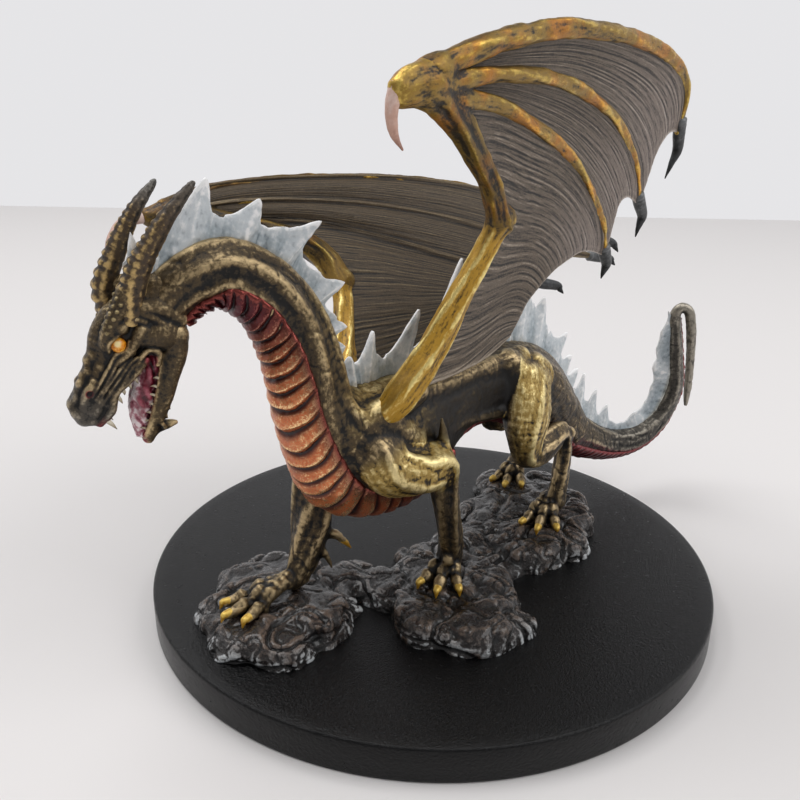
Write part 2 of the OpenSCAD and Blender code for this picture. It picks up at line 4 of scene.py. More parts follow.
import bpy
import numpy as np
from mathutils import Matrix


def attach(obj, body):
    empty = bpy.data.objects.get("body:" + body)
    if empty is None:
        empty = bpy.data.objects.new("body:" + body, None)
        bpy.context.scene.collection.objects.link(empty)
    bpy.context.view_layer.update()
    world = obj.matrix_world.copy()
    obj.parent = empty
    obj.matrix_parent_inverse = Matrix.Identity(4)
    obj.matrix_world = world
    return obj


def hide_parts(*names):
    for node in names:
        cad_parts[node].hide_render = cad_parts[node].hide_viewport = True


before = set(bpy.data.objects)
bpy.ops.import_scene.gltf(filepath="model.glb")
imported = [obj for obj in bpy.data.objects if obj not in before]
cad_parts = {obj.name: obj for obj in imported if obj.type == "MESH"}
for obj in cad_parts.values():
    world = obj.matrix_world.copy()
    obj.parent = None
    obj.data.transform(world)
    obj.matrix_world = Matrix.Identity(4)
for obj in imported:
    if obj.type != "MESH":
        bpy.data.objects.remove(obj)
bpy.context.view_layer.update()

import openvdb as vdb
from mathutils import Matrix, Vector

MM = 0.001
MID_X = 2.5  # the dragon's middle plane
SIDEWAYS = (1, 0, 0)
# Sizes of the clay's cells
FINE = 0.16
HEAD_FINE = 0.09
ROCK_FINE = 0.2


# ---- noise

# Large odd numbers that stir the bits of a lattice corner's place and of the seed
STIR = [np.uint32(factor) for factor in (374761393, 668265263, 2246822519)]
SEED_STIR = 3266489917
LAST_STIR = np.uint32(1274126177)
KEPT_BITS = 2**24 - 1


def hash_grid(ix, iy, iz, seed):
    """Repeatable number in -1..1 for each lattice corner."""
    h = sum(i.astype(np.uint32) * factor for i, factor in zip((ix, iy, iz), STIR))
    h += np.uint32(seed * SEED_STIR % 2**32)
    h = (h ^ (h >> np.uint32(13))) * LAST_STIR
    h ^= h >> np.uint32(16)
    return (h & np.uint32(KEPT_BITS)).astype(np.float32) / (KEPT_BITS / 2) - 1


LATTICE_START = 1000.0  # keeps the lattice corners above zero


def noise(p, size, seed=0):
    """Smooth noise in -1..1 with features of that size."""
    q = p / size + LATTICE_START
    i = np.floor(q).astype(np.int64)
    f = (q - i).astype(np.float32)
    f = f * f * (3 - 2 * f)
    total = 0
    for dx in (0, 1):
        for dy in (0, 1):
            for dz in (0, 1):
                w = np.abs(1 - dx - f[:, 0]) * np.abs(1 - dy - f[:, 1]) * np.abs(1 - dz - f[:, 2])
                total = total + w * hash_grid(i[:, 0] + dx, i[:, 1] + dy, i[:, 2] + dz, seed)
    return total


def fbm(p, size, octaves=3, seed=0):
    """Sum of noises, each half the size and half the height of the one before."""
    return sum(noise(p, size / 2**k, seed + k) / 2**k for k in range(octaves)) / (2 - 2**(1 - octaves))


def creases(p, size, seed=0):
    """0 in thin creases, towards 1 between them."""
    return np.minimum(1, np.abs(noise(p, size, seed)) * 3)


# ---- curves

def along(stations, count):
    """Smooth curve through the stations, sampled count + 1 times."""
    k = np.asarray(stations, float)
    k = np.vstack([k[:1], k, k[-1:]])
    s = np.linspace(0, len(k) - 3, count + 1)
    i = np.minimum(np.floor(s).astype(int), len(k) - 4)
    t = (s - i)[:, None]
    a, b, c, d = k[i], k[i + 1], k[i + 2], k[i + 3]
    return 0.5 * (2 * b + (c - a) * t + (2 * a - 5 * b + 4 * c - d) * t**2 + (3 * b - a - 3 * c + d) * t**3)


def unit(v):
    """Directions at length 1."""
    v = np.asarray(v, float)
    return v / np.maximum(np.linalg.norm(v, axis=-1, keepdims=True), 1e-9)


def frames(path, side):
    """Tangent, sideways and upward directions along a path."""
    go = unit(np.gradient(path[:, :3], axis=0))
    across = unit(np.asarray(side) - (go @ np.asarray(side))[:, None] * go)
    return go, across, np.cross(go, across)


def strands(stations, number, share, turn=0.4, side=SIDEWAYS, reach=0.84, first=0.0):
    """Muscle strands that run along a limb just under its surface."""
    path = along(stations, 3 * len(stations))
    _, across, up = frames(path, side)
    s = np.linspace(0, 1, len(path))
    chains = []
    for n in range(number):
        a = 2 * math.pi * (n / number + turn * s + first)
        off = across * (path[:, 3] * np.cos(a))[:, None] + up * (path[:, 4] * np.sin(a))[:, None]
        r = np.minimum(path[:, 3], path[:, 4]) * share * (0.55 + 0.45 * np.sin(math.pi * s))
        chains.append(np.column_stack([path[:, :3] + off * reach, r, r]))
    return chains


# ---- clay: signed distance sculpting

FAR = 3.0  # distance kept where no limb is near


class Clay:
    """A block of space that limbs are added to and cut from, then meshed."""

    def __init__(self, low, high, step):
        self.low = np.array(low, np.float32)
        self.step = step
        self.size = np.ceil((np.array(high) - low) / step).astype(int) + 1
        self.field = np.full(self.size, FAR, np.float32)

    def window(self, low, high):
        """The cells between two corners."""
        a = np.clip(np.floor((np.array(low) - self.low) / self.step).astype(int), 0, self.size)
        b = np.clip(np.ceil((np.array(high) - self.low) / self.step).astype(int) + 1, 0, self.size)
        return tuple(slice(x, y) for x, y in zip(a, b))

    def axes(self, window):
        """The x, y and z of the cells in a window."""
        return np.ix_(*(self.low[k] + self.step * np.arange(w.start, w.stop, dtype=np.float32)
                        for k, w in enumerate(window)))

    def join(self, window, d, blend):
        """Smooth union of a shape with what is there."""
        f = self.field[window]
        h = np.maximum(blend - np.abs(f - d), 0) / blend
        self.field[window] = np.minimum(f, d) - h * h * blend / 4

    def carve(self, window, d, blend):
        """Smooth removal of a shape from what is there."""
        f = self.field[window]
        h = np.maximum(blend - np.abs(f + d), 0) / blend
        self.field[window] = np.maximum(f, -d) + h * h * blend / 4

    def chain(self, path, side, margin):
        """Distance to a run of oval segments, and the window it fills."""
        path = np.asarray(path, np.float32)
        rmax = path[:, 3:5].max(1)
        reach = rmax.max() + margin
        whole = self.window(path[:, :3].min(0) - reach, path[:, :3].max(0) + reach)
        out = np.full([w.stop - w.start for w in whole], FAR, np.float32)
        _, across, up = frames(path, side)
        for i in range(len(path) - 1):
            a, b = path[i], path[i + 1]
            r = max(rmax[i], rmax[i + 1]) + margin
            part = self.window(np.minimum(a, b)[:3] - r, np.maximum(a, b)[:3] + r)
            if any(w.stop <= w.start for w in part):
                continue
            x, y, z = self.axes(part)
            d = b[:3] - a[:3]
            u, v = across[i].astype(np.float32), up[i].astype(np.float32)
            px, py, pz = x - a[0], y - a[1], z - a[2]
            t = np.clip((px * d[0] + py * d[1] + pz * d[2]) / max(float(d @ d), 1e-9), 0, 1)
            px, py, pz = px - t * d[0], py - t * d[1], pz - t * d[2]
            ru, rv = a[3] + t * (b[3] - a[3]), a[4] + t * (b[4] - a[4])
            du, dv = px * u[0] + py * u[1] + pz * u[2], px * v[0] + py * v[1] + pz * v[2]
            rest = np.maximum(px**2 + py**2 + pz**2 - du**2 - dv**2, 0)
            low_r = np.minimum(ru, rv)
            dist = (np.sqrt((du / ru)**2 + (dv / rv)**2 + rest / low_r**2) - 1) * low_r
            spot = tuple(slice(p.start - w.start, p.stop - w.start) for p, w in zip(part, whole))
            out[spot] = np.minimum(out[spot], dist)
        return whole, out

    def add(self, stations, blend=0.6, side=SIDEWAYS, count=None):
        """Adds a limb through stations of x, y, z, half width and half height."""
        path = along(stations, count or 5 * len(stations))
        path[:, 3:5] = np.maximum(path[:, 3:5], 0.05)
        self.join(*self.chain(path, side, blend + 0.8), blend)

    def cut(self, stations, blend, side):
        """Cuts away a run of stations."""
        path = along(stations, 5 * len(stations))
        self.carve(*self.chain(path, side, blend + 0.8), blend)

    def ball(self, x, y, z, r, blend, cut=False):
        """Adds a ball, or cuts it away."""
        centre = np.array([x, y, z])
        reach = r + blend + 1
        window = self.window(centre - reach, centre + reach)
        gx, gy, gz = self.axes(window)
        d = np.sqrt((gx - x)**2 + (gy - y)**2 + (gz - z)**2) - r
        (self.carve if cut else self.join)(window, d, blend)

    def mound(self, x, y, base, r, h, blend=1.0, shoulder=1.1):
        """A low round-shouldered lump that stands at the height base."""
        window = self.window((x - r - 2, y - r - 2, base - 3), (x + r + 2, y + r + 2, base + h + 2))
        gx, gy, gz = self.axes(window)
        out = np.sqrt((gx - x)**2 + (gy - y)**2) - r * (1 - 0.22 * np.clip((gz - base) / h, 0, 1)**2)
        top = gz - base - h
        k = shoulder
        self.join(window, np.maximum(out, top) + np.maximum(k - np.abs(out - top), 0)**2 / (4 * k), blend)

    def mesh(self):
        """The clay's surface as (points, quads)."""
        grid = vdb.FloatGrid(FAR)
        grid.copyFromArray(self.field)
        points, quads = grid.convertToQuads(isovalue=0.0)
        points = np.asarray(points, np.float64) * self.step + self.low
        return outward(points, np.asarray(quads, np.int64))


def outward(points, quads):
    """Faces turned so that the volume is positive."""
    a, b, c = points[quads[:, 0]], points[quads[:, 1]], points[quads[:, 2]]
    d = points[quads[:, 3]]
    volume = (np.cross(a, b) * c).sum() + (np.cross(a, c) * d).sum()
    return points, (quads if volume > 0 else quads[:, ::-1])


def normals(points, quads):
    """Outward direction at each point, weighted by the faces' areas."""
    n = np.cross(points[quads[:, 2]] - points[quads[:, 0]], points[quads[:, 3]] - points[quads[:, 1]])
    total = np.zeros_like(points)
    for k in range(4):
        for axis in range(3):
            total[:, axis] += np.bincount(quads[:, k], n[:, axis], len(points))
    return unit(total)


def smoothed(points, quads, rounds):
    """Points moved to the middle of their neighbours that many times."""
    a = quads.ravel()
    b = np.roll(quads, -1, axis=1).ravel()
    count = np.bincount(a, minlength=len(points)) + np.bincount(b, minlength=len(points))
    count = np.maximum(count, 1)[:, None]
    p = points.copy()
    for _ in range(rounds):
        q = np.zeros_like(p)
        for axis in range(3):
            q[:, axis] = np.bincount(a, p[b, axis], len(p)) + np.bincount(b, p[a, axis], len(p))
        p = q / count
    return p


def relief(points, quads, rounds):
    """How each point stands above (+) or below (-) its smoothed surroundings, -1..1."""
    r = ((points - smoothed(points, quads, rounds)) * normals(points, quads)).sum(1)
    r = np.clip(r, *np.percentile(r, (2, 98)))
    r = r - np.median(r)
    return np.clip(r / (2 * r.std() + 1e-9), -1, 1)


def soft(x, low, high):
    """0 below low, 1 above high, smooth between (either way round)."""
    t = np.clip((x - low) / (high - low), 0, 1)
    return t * t * (3 - 2 * t)


def flow(points, limbs, stretch=0.2):
    """Place along and across the nearest limb in mm, squeezed lengthwise, with the limb's number
    and the share of its length."""
    best = np.full(len(points), 1e9)
    place = np.zeros((len(points), 3))
    share = np.zeros(len(points))
    which = np.zeros(len(points), int)
    for k, (stations, side) in enumerate(limbs):
        path = along(stations, 45)
        go, across, up = frames(path, side)
        length = np.concatenate([[0], np.cumsum(np.linalg.norm(np.diff(path[:, :3], axis=0), axis=1))])
        for i in range(len(path)):
            d = points - path[i, :3]
            far = (d * d).sum(1) / max(path[i, 3] + path[i, 4], 0.6)**1.5
            m = far < best
            e = d[m]
            best[m] = far[m]
            place[m] = np.stack([(length[i] + e @ go[i] + 40 * k) * stretch, e @ across[i], e @ up[i]], 1)
            share[m] = i / (len(path) - 1)
            which[m] = k
    return place, share, which


# ---- surfaces swept from curves

def closed_rings(rings, ends):
    """A surface over rings of points, closed at each end by a fan round an end point."""
    count, sides = rings.shape[0] - 1, rings.shape[1]
    points = np.vstack([rings.reshape(-1, 3), ends])
    i, j = np.meshgrid(np.arange(count) * sides, np.arange(sides), indexing="ij")
    n = (j + 1) % sides
    walls = np.stack([i + j, i + n, i + sides + n, i + sides + j], -1).reshape(-1, 4)
    j = np.arange(0, sides, 2)
    far = (j + 2) % sides
    top = count * sides
    first = np.stack([np.full_like(j, len(points) - 2), far, j + 1, j], 1)
    last = np.stack([np.full_like(j, len(points) - 1), top + j, top + j + 1, top + far], 1)
    return outward(points, np.vstack([walls, first, last]))


def tube(stations, count, sides, side=SIDEWAYS, shape=None):
    """A closed tube. shape(s, a) scales the radius at place s (0..1) and angle a."""
    path = along(stations, count)
    go, across, up = frames(path, side)
    s = np.linspace(0, 1, count + 1)[:, None]
    a = np.linspace(0, 2 * math.pi, sides, endpoint=False)[None, :]
    k = np.ones((count + 1, sides)) if shape is None else shape(s, a)
    rings = (path[:, None, :3] + across[:, None, :] * (path[:, 3:4] * np.cos(a) * k)[..., None]
             + up[:, None, :] * (path[:, 4:5] * np.sin(a) * k)[..., None])
    ends = [path[0, :3] - go[0] * path[0, 4] * 0.4, path[-1, :3] + go[-1] * path[-1, 4] * 0.4]
    return closed_rings(rings, ends)


def rough(shape, size, octaves, seed, depth):
    """Raises and lowers a surface by noise, at most depth."""
    points, quads = shape
    return points + normals(points, quads) * (fbm(points, size, octaves, seed) * depth)[:, None], quads


def slab(top, bottom):
    """A closed sheet between two grids of points."""
    rows, cols = top.shape[:2]
    points = np.vstack([top.reshape(-1, 3), bottom.reshape(-1, 3)])
    index = np.arange(rows * cols).reshape(rows, cols)
    face = np.stack([index[:-1, :-1], index[:-1, 1:], index[1:, 1:], index[1:, :-1]], -1).reshape(-1, 4)
    n = rows * cols
    rim = np.concatenate([index[0, :-1], index[:-1, -1], index[-1, :0:-1], index[:0:-1, 0]])
    after = np.roll(rim, -1)
    wall = np.stack([after, rim, rim + n, after + n], 1)
    return outward(points, np.vstack([face, face[:, ::-1] + n, wall]))


def both_faces(grain):
    """The flow of a sheet's face, and the same set apart for its back."""
    return np.vstack([grain, grain + [0, 0, 5]])


def merge(parts):
    """Several (points, quads) as one."""
    points, quads, base = [], [], 0
    for p, q in parts:
        points.append(p)
        quads.append(q + base)
        base += len(p)
    return np.vstack(points), np.vstack(quads)


# ---- objects

def placed(name, data):
    """A new object in the scene."""
    obj = bpy.data.objects.new(name, data)
    bpy.context.scene.collection.objects.link(obj)
    return obj


def piece(name, shape, material, nodes, marks=None, fine=4, coarse=24):
    """Makes a named mesh object from (points in mm, quads) with paint marks, and puts it in the frame."""
    points, quads = shape
    mesh = bpy.data.meshes.new(name)
    mesh.vertices.add(len(points))
    mesh.vertices.foreach_set("co", (points * MM).astype(np.float32).ravel())
    mesh.loops.add(quads.size)
    mesh.loops.foreach_set("vertex_index", quads.astype(np.int32).ravel())
    mesh.polygons.add(len(quads))
    mesh.polygons.foreach_set("loop_start", (np.arange(len(quads)) * 4).astype(np.int32))
    mesh.update(calc_edges=True)
    mesh.polygons.foreach_set("use_smooth", np.ones(len(mesh.polygons), bool))
    marks = dict({"flow": points}, **(marks or {}))
    thin = 1
    # relief and form lay the wash and painted shade in recesses and hollows; sky, the upward share of the
    # normal, lays painted light from above
    marks["relief"] = relief(points, quads, max(fine // thin, 1))
    marks["form"] = relief(points, quads, max(coarse // thin, 2))
    marks["sky"] = normals(points, quads)[:, 2]
    for key, value in marks.items():
        value = np.asarray(value, np.float32)
        if value.ndim == 2:
            mesh.attributes.new(key, "FLOAT_VECTOR", "POINT").data.foreach_set("vector", value.ravel())
        else:
            mesh.attributes.new(key, "FLOAT", "POINT").data.foreach_set("value", value)
    obj = placed(name, mesh)
    mesh.materials.append(material)
    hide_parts(*nodes)
    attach(obj, "root")


# ---- paint

def linear(text):
    """Linear colour from a hex code."""
    c = [int(text[k:k + 2], 16) / 255 for k in (1, 3, 5)]
    return [x / 12.92 if x <= 0.04045 else ((x + 0.055) / 1.055)**2.4 for x in c] + [1]


class Nodes:
    """Makes and links the nodes of a tree."""

    def __init__(self, owner):
        owner.use_nodes = True
        self.tree = owner.node_tree

    def node(self, kind, **values):
        n = self.tree.nodes.new(kind)
        for key, value in values.items():
            setattr(n, key, value)
        return n

    def link(self, a, b):
        self.tree.links.new(a, b)

    def maths(self, operation, *values):
        n = self.node("ShaderNodeMath", operation=operation)
        for socket, value in zip(n.inputs, values):
            if isinstance(value, (int, float)):
                socket.default_value = value
            else:
                self.link(value, socket)
        return n.outputs[0]

    def ramp(self, value, low, high, out_low=0.0, out_high=1.0, kind="SMOOTHSTEP"):
        """Stretches low..high to out_low..out_high."""
        n = self.node("ShaderNodeMapRange", interpolation_type=kind)
        for key, bound in (("From Min", low), ("From Max", high), ("To Min", out_low), ("To Max", out_high)):
            n.inputs[key].default_value = bound
        self.link(value, n.inputs["Value"])
        return n.outputs["Result"]


class Paint(Nodes):
    """One procedural paint: a dark wash with painted shade in the recesses, a base coat, and a drybrushed top
    with painted highlights on the raised and upward faces.
    """

    def __init__(self, name):
        self.material = bpy.data.materials.new(name)
        super().__init__(self.material)
        self.bsdf = self.tree.nodes["Principled BSDF"]
        self.flow = self.node("ShaderNodeAttribute", attribute_name="flow").outputs["Vector"]
        self.place = self.node("ShaderNodeTexCoord").outputs["Object"]

    def mark(self, name):
        """A value that the piece gives to each of its points."""
        return self.node("ShaderNodeAttribute", attribute_name=name).outputs["Fac"]

    def texture(self, scale, vector, detail):
        n = self.node("ShaderNodeTexNoise")
        n.inputs["Scale"].default_value = scale
        n.inputs["Detail"].default_value = detail
        n.inputs["Roughness"].default_value = 0.6
        self.link(vector, n.inputs["Vector"])
        return n.outputs["Fac"]

    def streaks(self, size, detail=4):
        """Brush noise drawn out along the flow of the form, 0..1. size is its width in mm."""
        return self.texture(1 / size, self.flow, detail)

    def speckle(self, size, detail=4):
        """Even noise, 0..1. size is in mm."""
        return self.texture(1 / (size * MM), self.place, detail)

    def mix(self, factor, a, b):
        """From colour a to colour b. Each is a hex code or a node's output."""
        n = self.node("ShaderNodeMix", data_type="RGBA")
        self.link(factor, n.inputs[0])
        for socket, value in ((n.inputs[6], a), (n.inputs[7], b)):
            if isinstance(value, str):
                socket.default_value = linear(value)
            else:
                self.link(value, socket)
        return n.outputs[2]

    def wear_and_light(self, relief=0.6, form=0.4, sky=0.2, brush=0.4, brush_size=0.45, grit=0.5, grit_size=0.25):
        """Painted height, about -1..1, broken up by brush and grit. The modelled relief lays the dark wash in
        the recesses and the drybrushed top on the raised parts. The coarse form adds painted shade in the
        hollows. Painted light from above lightens upward faces and darkens undersides."""
        h = self.maths("MULTIPLY", self.mark("relief"), relief)
        h = self.maths("MULTIPLY_ADD", self.mark("form"), form, h)
        h = self.maths("MULTIPLY_ADD", self.mark("sky"), sky, h)
        for texture, share in ((self.streaks(brush_size), brush), (self.speckle(grit_size), grit)):
            h = self.maths("MULTIPLY_ADD", self.maths("SUBTRACT", texture, 0.5), 2 * share, h)
        self.height = h

    def layers(self, wash, base, top, low=(-0.7, 0.0), high=(0.0, 0.9)):
        """Wash, base coat and top, that give way to one another over those heights."""
        under = self.mix(self.ramp(self.height, *low), wash, base)
        return self.mix(self.ramp(self.height, *high), under, top)

    def finish(self, colour, metal=(0.0, 0.0), rough=(0.55, 0.4), bump=0.4, bump_size=0.3, depth=0.08,
               gloss=0.5):
        """Metal and gloss grow from the recesses to the drybrushed top."""
        self.link(colour, self.bsdf.inputs["Base Color"])
        self.bsdf.inputs["Specular IOR Level"].default_value = gloss
        if max(metal) > 0:
            self.link(self.ramp(self.height, -0.4, 0.7, *metal), self.bsdf.inputs["Metallic"])
        self.link(self.ramp(self.height, -0.4, 0.7, *rough), self.bsdf.inputs["Roughness"])
        b = self.node("ShaderNodeBump")
        b.inputs["Strength"].default_value = bump
        b.inputs["Distance"].default_value = depth * MM
        h = self.maths("ADD", self.streaks(bump_size, 5), self.speckle(bump_size * 0.7, 5))
        self.link(h, b.inputs["Height"])
        self.link(b.outputs["Normal"], self.bsdf.inputs["Normal"])
        return self.material


def paint(name, wash, base, top, low=(-0.7, 0.0), high=(0.0, 0.9), wear_and_light=None, **finish):
    """A plain three-coat paint."""
    p = Paint(name)
    p.wear_and_light(**(wear_and_light or {}))
    return p.finish(p.layers(wash, base, top, low, high), **finish)


def bronze_paint():
    p = Paint("dragon_bronze")
    p.wear_and_light(relief=0.35, form=0.65, sky=0.35, brush=0.35, brush_size=0.4, grit=0.6, grit_size=0.22)
    skin = p.layers("#090705", "#4e402b", "#c8b086", (-0.65, 0.05), (0.0, 1.05))
    gold_and_highlight_coat = p.layers("#241a0b", "#a98b46", "#ffeaa8", (-0.7, -0.1), (-0.15, 0.8))
    red = p.layers("#17040a", "#4e0f18", "#93464a")
    dust = p.layers("#141311", "#4f4c47", "#96938c")
    # Gold paint that is also a painted highlight on the lit upper arm, thigh, shoulder and brow knobs;
    # painted shade goes on last, near-black
    colour = p.mix(p.mark("dust"), p.mix(p.mark("gold_and_highlight"), skin, gold_and_highlight_coat), dust)
    colour = p.mix(p.mark("shade"), p.mix(p.mark("red"), colour, red), "#080504")
    return p.finish(colour, metal=(0.3, 0.85), rough=(0.46, 0.3), bump=0.6, bump_size=0.18)


def copper_paint():
    p = Paint("plate_copper")
    p.wear_and_light(relief=0.45, form=0.4, sky=0.2, brush=0.3, brush_size=0.4, grit=0.8, grit_size=0.2)
    chest = p.layers("#34100a", "#c86c3e", "#ffd8a0", (-0.7, -0.1), (0.05, 0.85))
    throat = p.layers("#140305", "#56151f", "#c07a70", (-0.6, 0.0), (0.2, 1.1))
    belly = p.layers("#160406", "#6b1d15", "#b9603e")
    seam = p.layers("#120305", "#2e0a10", "#7e3a34")
    colour = p.mix(p.mark("belly"), p.mix(p.mark("throat"), chest, throat), belly)
    colour = p.mix(p.mark("seam"), colour, seam)
    return p.finish(colour, metal=(0.25, 0.8), rough=(0.36, 0.24), bump=0.3, bump_size=0.3)


def gold_bone_paint():
    p = Paint("wing_gold")
    p.wear_and_light(relief=0.4, form=0.4, sky=0.15, brush=0.6, brush_size=0.24, grit=0.55, grit_size=0.3)
    gold = p.layers("#3a2a0b", "#bc902e", "#ffe898", (-1.1, -0.4), (-0.15, 0.75))
    dark = p.layers("#0f0b05", "#4a3917", "#a5863d", (-0.6, 0.1), (0.1, 1.0))
    ochre = p.layers("#221908", "#94752f", "#dcbc62", (-0.8, -0.1), (0.0, 0.9))
    amber = p.layers("#2e1c08", "#b17422", "#f0b248", (-0.8, -0.1), (0.0, 0.9))
    lively = p.mix(p.ramp(p.speckle(4.5, 3), 0.42, 0.64), ochre, amber)
    colour = p.mix(p.mark("shaded"), p.mix(p.mark("bright"), lively, gold), dark)
    return p.finish(colour, metal=(0.25, 0.8), rough=(0.45, 0.3), bump=0.5, bump_size=0.22)


def membrane_paint():
    p = Paint("wing_skin")
    p.wear_and_light(relief=0.4, form=0.3, sky=0.0, brush=0.8, brush_size=0.09, grit=0.4, grit_size=0.25)
    plain = p.layers("#120d0a", "#66594b", "#bcae9c", (-0.45, 0.1), (0.1, 1.0))
    warm = p.layers("#110c07", "#4a3b25", "#8c7850", (-0.5, 0.1), (0.05, 1.2))
    # pale is a painted highlight, the sheen towards the skin's trailing edge
    pale = p.layers("#2a2220", "#85786f", "#cfc4bb", (-0.5, 0.1), (0.1, 1.1))
    colour = p.mix(p.mark("warm"), p.mix(p.mark("pale"), plain, pale), warm)
    return p.finish(colour, metal=(0.0, 0.2), rough=(0.55, 0.45), bump=0.6, bump_size=0.22)


def flesh_paint():
    p = Paint("mouth_flesh")
    p.wear_and_light(relief=0.5, form=0.1, sky=0.0, brush=0.2, grit=0.9, grit_size=0.5)
    inner = p.layers("#6e1a32", "#b0707c", "#eedfe0", (-0.6, -0.1), (-0.15, 0.35))
    edge = p.layers("#24050c", "#6a1428", "#a85563")
    return p.finish(p.mix(p.mark("middle"), edge, inner), rough=(0.35, 0.25))


def eye_paint():
    p = Paint("eye_amber")
    p.wear_and_light(relief=0, form=0, sky=0, brush=0.3, grit=1.0, grit_size=0.45)
    amber = p.layers("#a4500c", "#e58f1c", "#ffc85a", (-0.6, 0), (0, 0.5))
    return p.finish(p.mix(p.mark("glint"), amber, "#ffe9a8"), rough=(0.2, 0.12), bump=0.1)


def frost_paint():
    p = Paint("crest_frost")
    p.wear_and_light(relief=0.4, form=0.35, sky=0.15, brush=0.4, brush_size=0.5, grit=0.6, grit_size=0.5)
    frost = p.layers("#828d96", "#d2d9dd", "#ffffff", (-0.9, -0.1), (-0.1, 0.7))
    hollow = p.layers("#616c75", "#adb9c0", "#eaeef0", (-0.8, 0.0), (-0.1, 0.8))
    rooted = p.layers("#4a463a", "#a3a294", "#d6d6c8", (-0.8, 0.0), (-0.1, 0.8))
    colour = p.mix(p.mark("hollow"), frost, hollow)
    colour = p.mix(p.mark("root"), colour, rooted)
    return p.finish(colour, rough=(0.6, 0.5), bump=0.5, bump_size=0.35, depth=0.06)


def horn_paint():
    p = Paint("horn_bronze")
    p.wear_and_light(relief=0.5, form=0.4, sky=0.1, brush=0.25, brush_size=0.5, grit=0.3, grit_size=0.15)
    brown = p.layers("#0d0a07", "#4a3b2a", "#d4b478", (-0.8, 0.1), (0.1, 1.1))
    silver = p.layers("#1c1b1a", "#85837e", "#e8e8e6", (-0.6, 0.1), (0.0, 0.9))
    return p.finish(p.mix(p.mark("silver"), brown, silver), metal=(0.1, 0.5), rough=(0.55, 0.4))


# ---- body casting


def middle(*rows):
    """Stations in the dragon's middle plane: y, z, half width and half height."""
    return [[MID_X, *row] for row in rows]


def out_from_middle(side, *rows):
    """Stations beside the middle plane: distance, y, z, half width and, where it differs, half height."""
    return [[MID_X + side * x, y, z, w, *(h or [w])] for x, y, z, w, *h in rows]


# Stations of the limbs: x, y, z, half width and half height
TORSO = middle(
    (-21, 27.2, 3.6, 5.2), (-18, 27, 5.4, 7.4), (-13, 26.6, 6.1, 8), (-8, 27, 5.8, 7.4), (-2, 28.6, 4.9, 5.5),
    (4, 29, 4.5, 4.9), (10, 28.6, 4.8, 5.5), (16, 26.4, 5, 5.9), (22, 22, 4.2, 4.9), (27, 17, 3.5, 3.8))
NECK = middle((-16, 25, 5, 5.4), (-20, 28.5, 4.6, 4.9), (-22.4, 33.5, 4.1, 4.2)) + [
    [MID_X - 0.5, -23.3, 38.5, 3.7, 3.9], [MID_X - 1.5, -24.5, 43, 3.4, 3.6],
    [MID_X - 2.5, -27, 47, 3.1, 3.3], [MID_X - 4, -30.7, 49.2, 2.9, 3.1],
    [MID_X - 5.5, -34, 48.2, 2.7, 2.9], [MID_X - 6.4, -36, 46.3, 2.5, 2.7]
]
TAIL = middle((25, 18.5, 3.6, 3.9), (28, 16, 3.3, 3.6)) + [
    [3, 33.5, 13, 2.8, 2.9], [4, 38, 11.2, 2.4, 2.5], [5.5, 42, 10.9, 2.2, 2.2], [7, 45.5, 12.2, 1.9, 2],
    [8, 48.5, 15, 1.7, 1.8], [9, 49.5, 19.6, 1.5, 1.5], [9.5, 47.5, 26, 1.2, 1.25], [10, 44.8, 32, 0.95, 0.95]
]
TAIL_TIP = [
    TAIL[-1], [10.3, 44.6, 33.4, 0.85, 0.85], [11, 45.2, 34.1, 0.8, 0.8], [11.9, 45.9, 33.2, 0.8, 0.8],
    [12.4, 46.3, 30, 0.8, 0.8], [12.7, 46.6, 25.5, 0.72, 0.72], [12.9, 46.7, 20.4, 0.6, 0.6],
    [12.9, 46.7, 18, 0.35, 0.35]
]
# The stretch of the left foreleg that is painted gold, from the shoulder to the elbow; the gold also stands
# in as a painted highlight on its lit side
GOLDEN_ARM = ([8, -17.4, 25.6], [10, -11, 25])
FORELEG_LEFT = [
    [7.2, -18, 28, 2.8, 3], [8.6, -16.6, 25.8, 2.8, 2.9], [9.5, -13.2, 24.8, 2.6, 2.7],
    [9.6, -10, 24.6, 2.2, 2.4], [9.5, -8.6, 21.8, 1.6, 1.8], [9.3, -7.5, 17, 1.4, 1.55],
    [8.8, -6.2, 12.4, 1.5, 1.65], [7.8, -5.2, 9.2, 1.7, 1.5]
]
FORELEG_RIGHT = [
    [-2.6, -16, 27, 2.8, 3.6], [-3.8, -17.4, 22.5, 2.4, 2.8], [-4.2, -17.8, 18.4, 2.2, 2.4],
    [-3.8, -18.2, 15.6, 2.3, 2.4], [-3.2, -19.8, 12.2, 1.9, 2.1], [-2.8, -21.8, 9.2, 1.7, 1.5]
]
HINDLEG_LEFT = [
    [6.6, 11.5, 29.5, 2.5, 4.3], [7.8, 9.8, 25.5, 2.9, 3.9], [8.3, 9.2, 21.6, 2.2, 2.5],
    [8.4, 10.2, 19, 1.6, 1.7], [8.3, 13.6, 19.4, 1.8, 2], [8, 18, 20, 1.4, 1.6],
    [8.1, 19.2, 17, 1.15, 1.25], [8.3, 18.4, 12.5, 1.15, 1.25], [8.3, 17.6, 9.2, 1.5, 1.4]
]
HINDLEG_RIGHT = [
    [-1.4, 16, 28, 2.5, 4.1], [-2.8, 16.4, 24.5, 2.9, 3.7], [-3.6, 17.4, 20.6, 2.3, 2.5],
    [-3.8, 18.6, 18.6, 1.9, 1.9], [-3.8, 21.4, 19, 1.7, 1.8], [-3.8, 25, 19.4, 1.4, 1.5],
    [-4, 26, 16.6, 1.15, 1.25], [-4.2, 25.8, 12.5, 1.15, 1.25], [-4.2, 25.2, 9.2, 1.5, 1.4]
]
LEGS = [FORELEG_LEFT, FORELEG_RIGHT, HINDLEG_LEFT, HINDLEG_RIGHT]
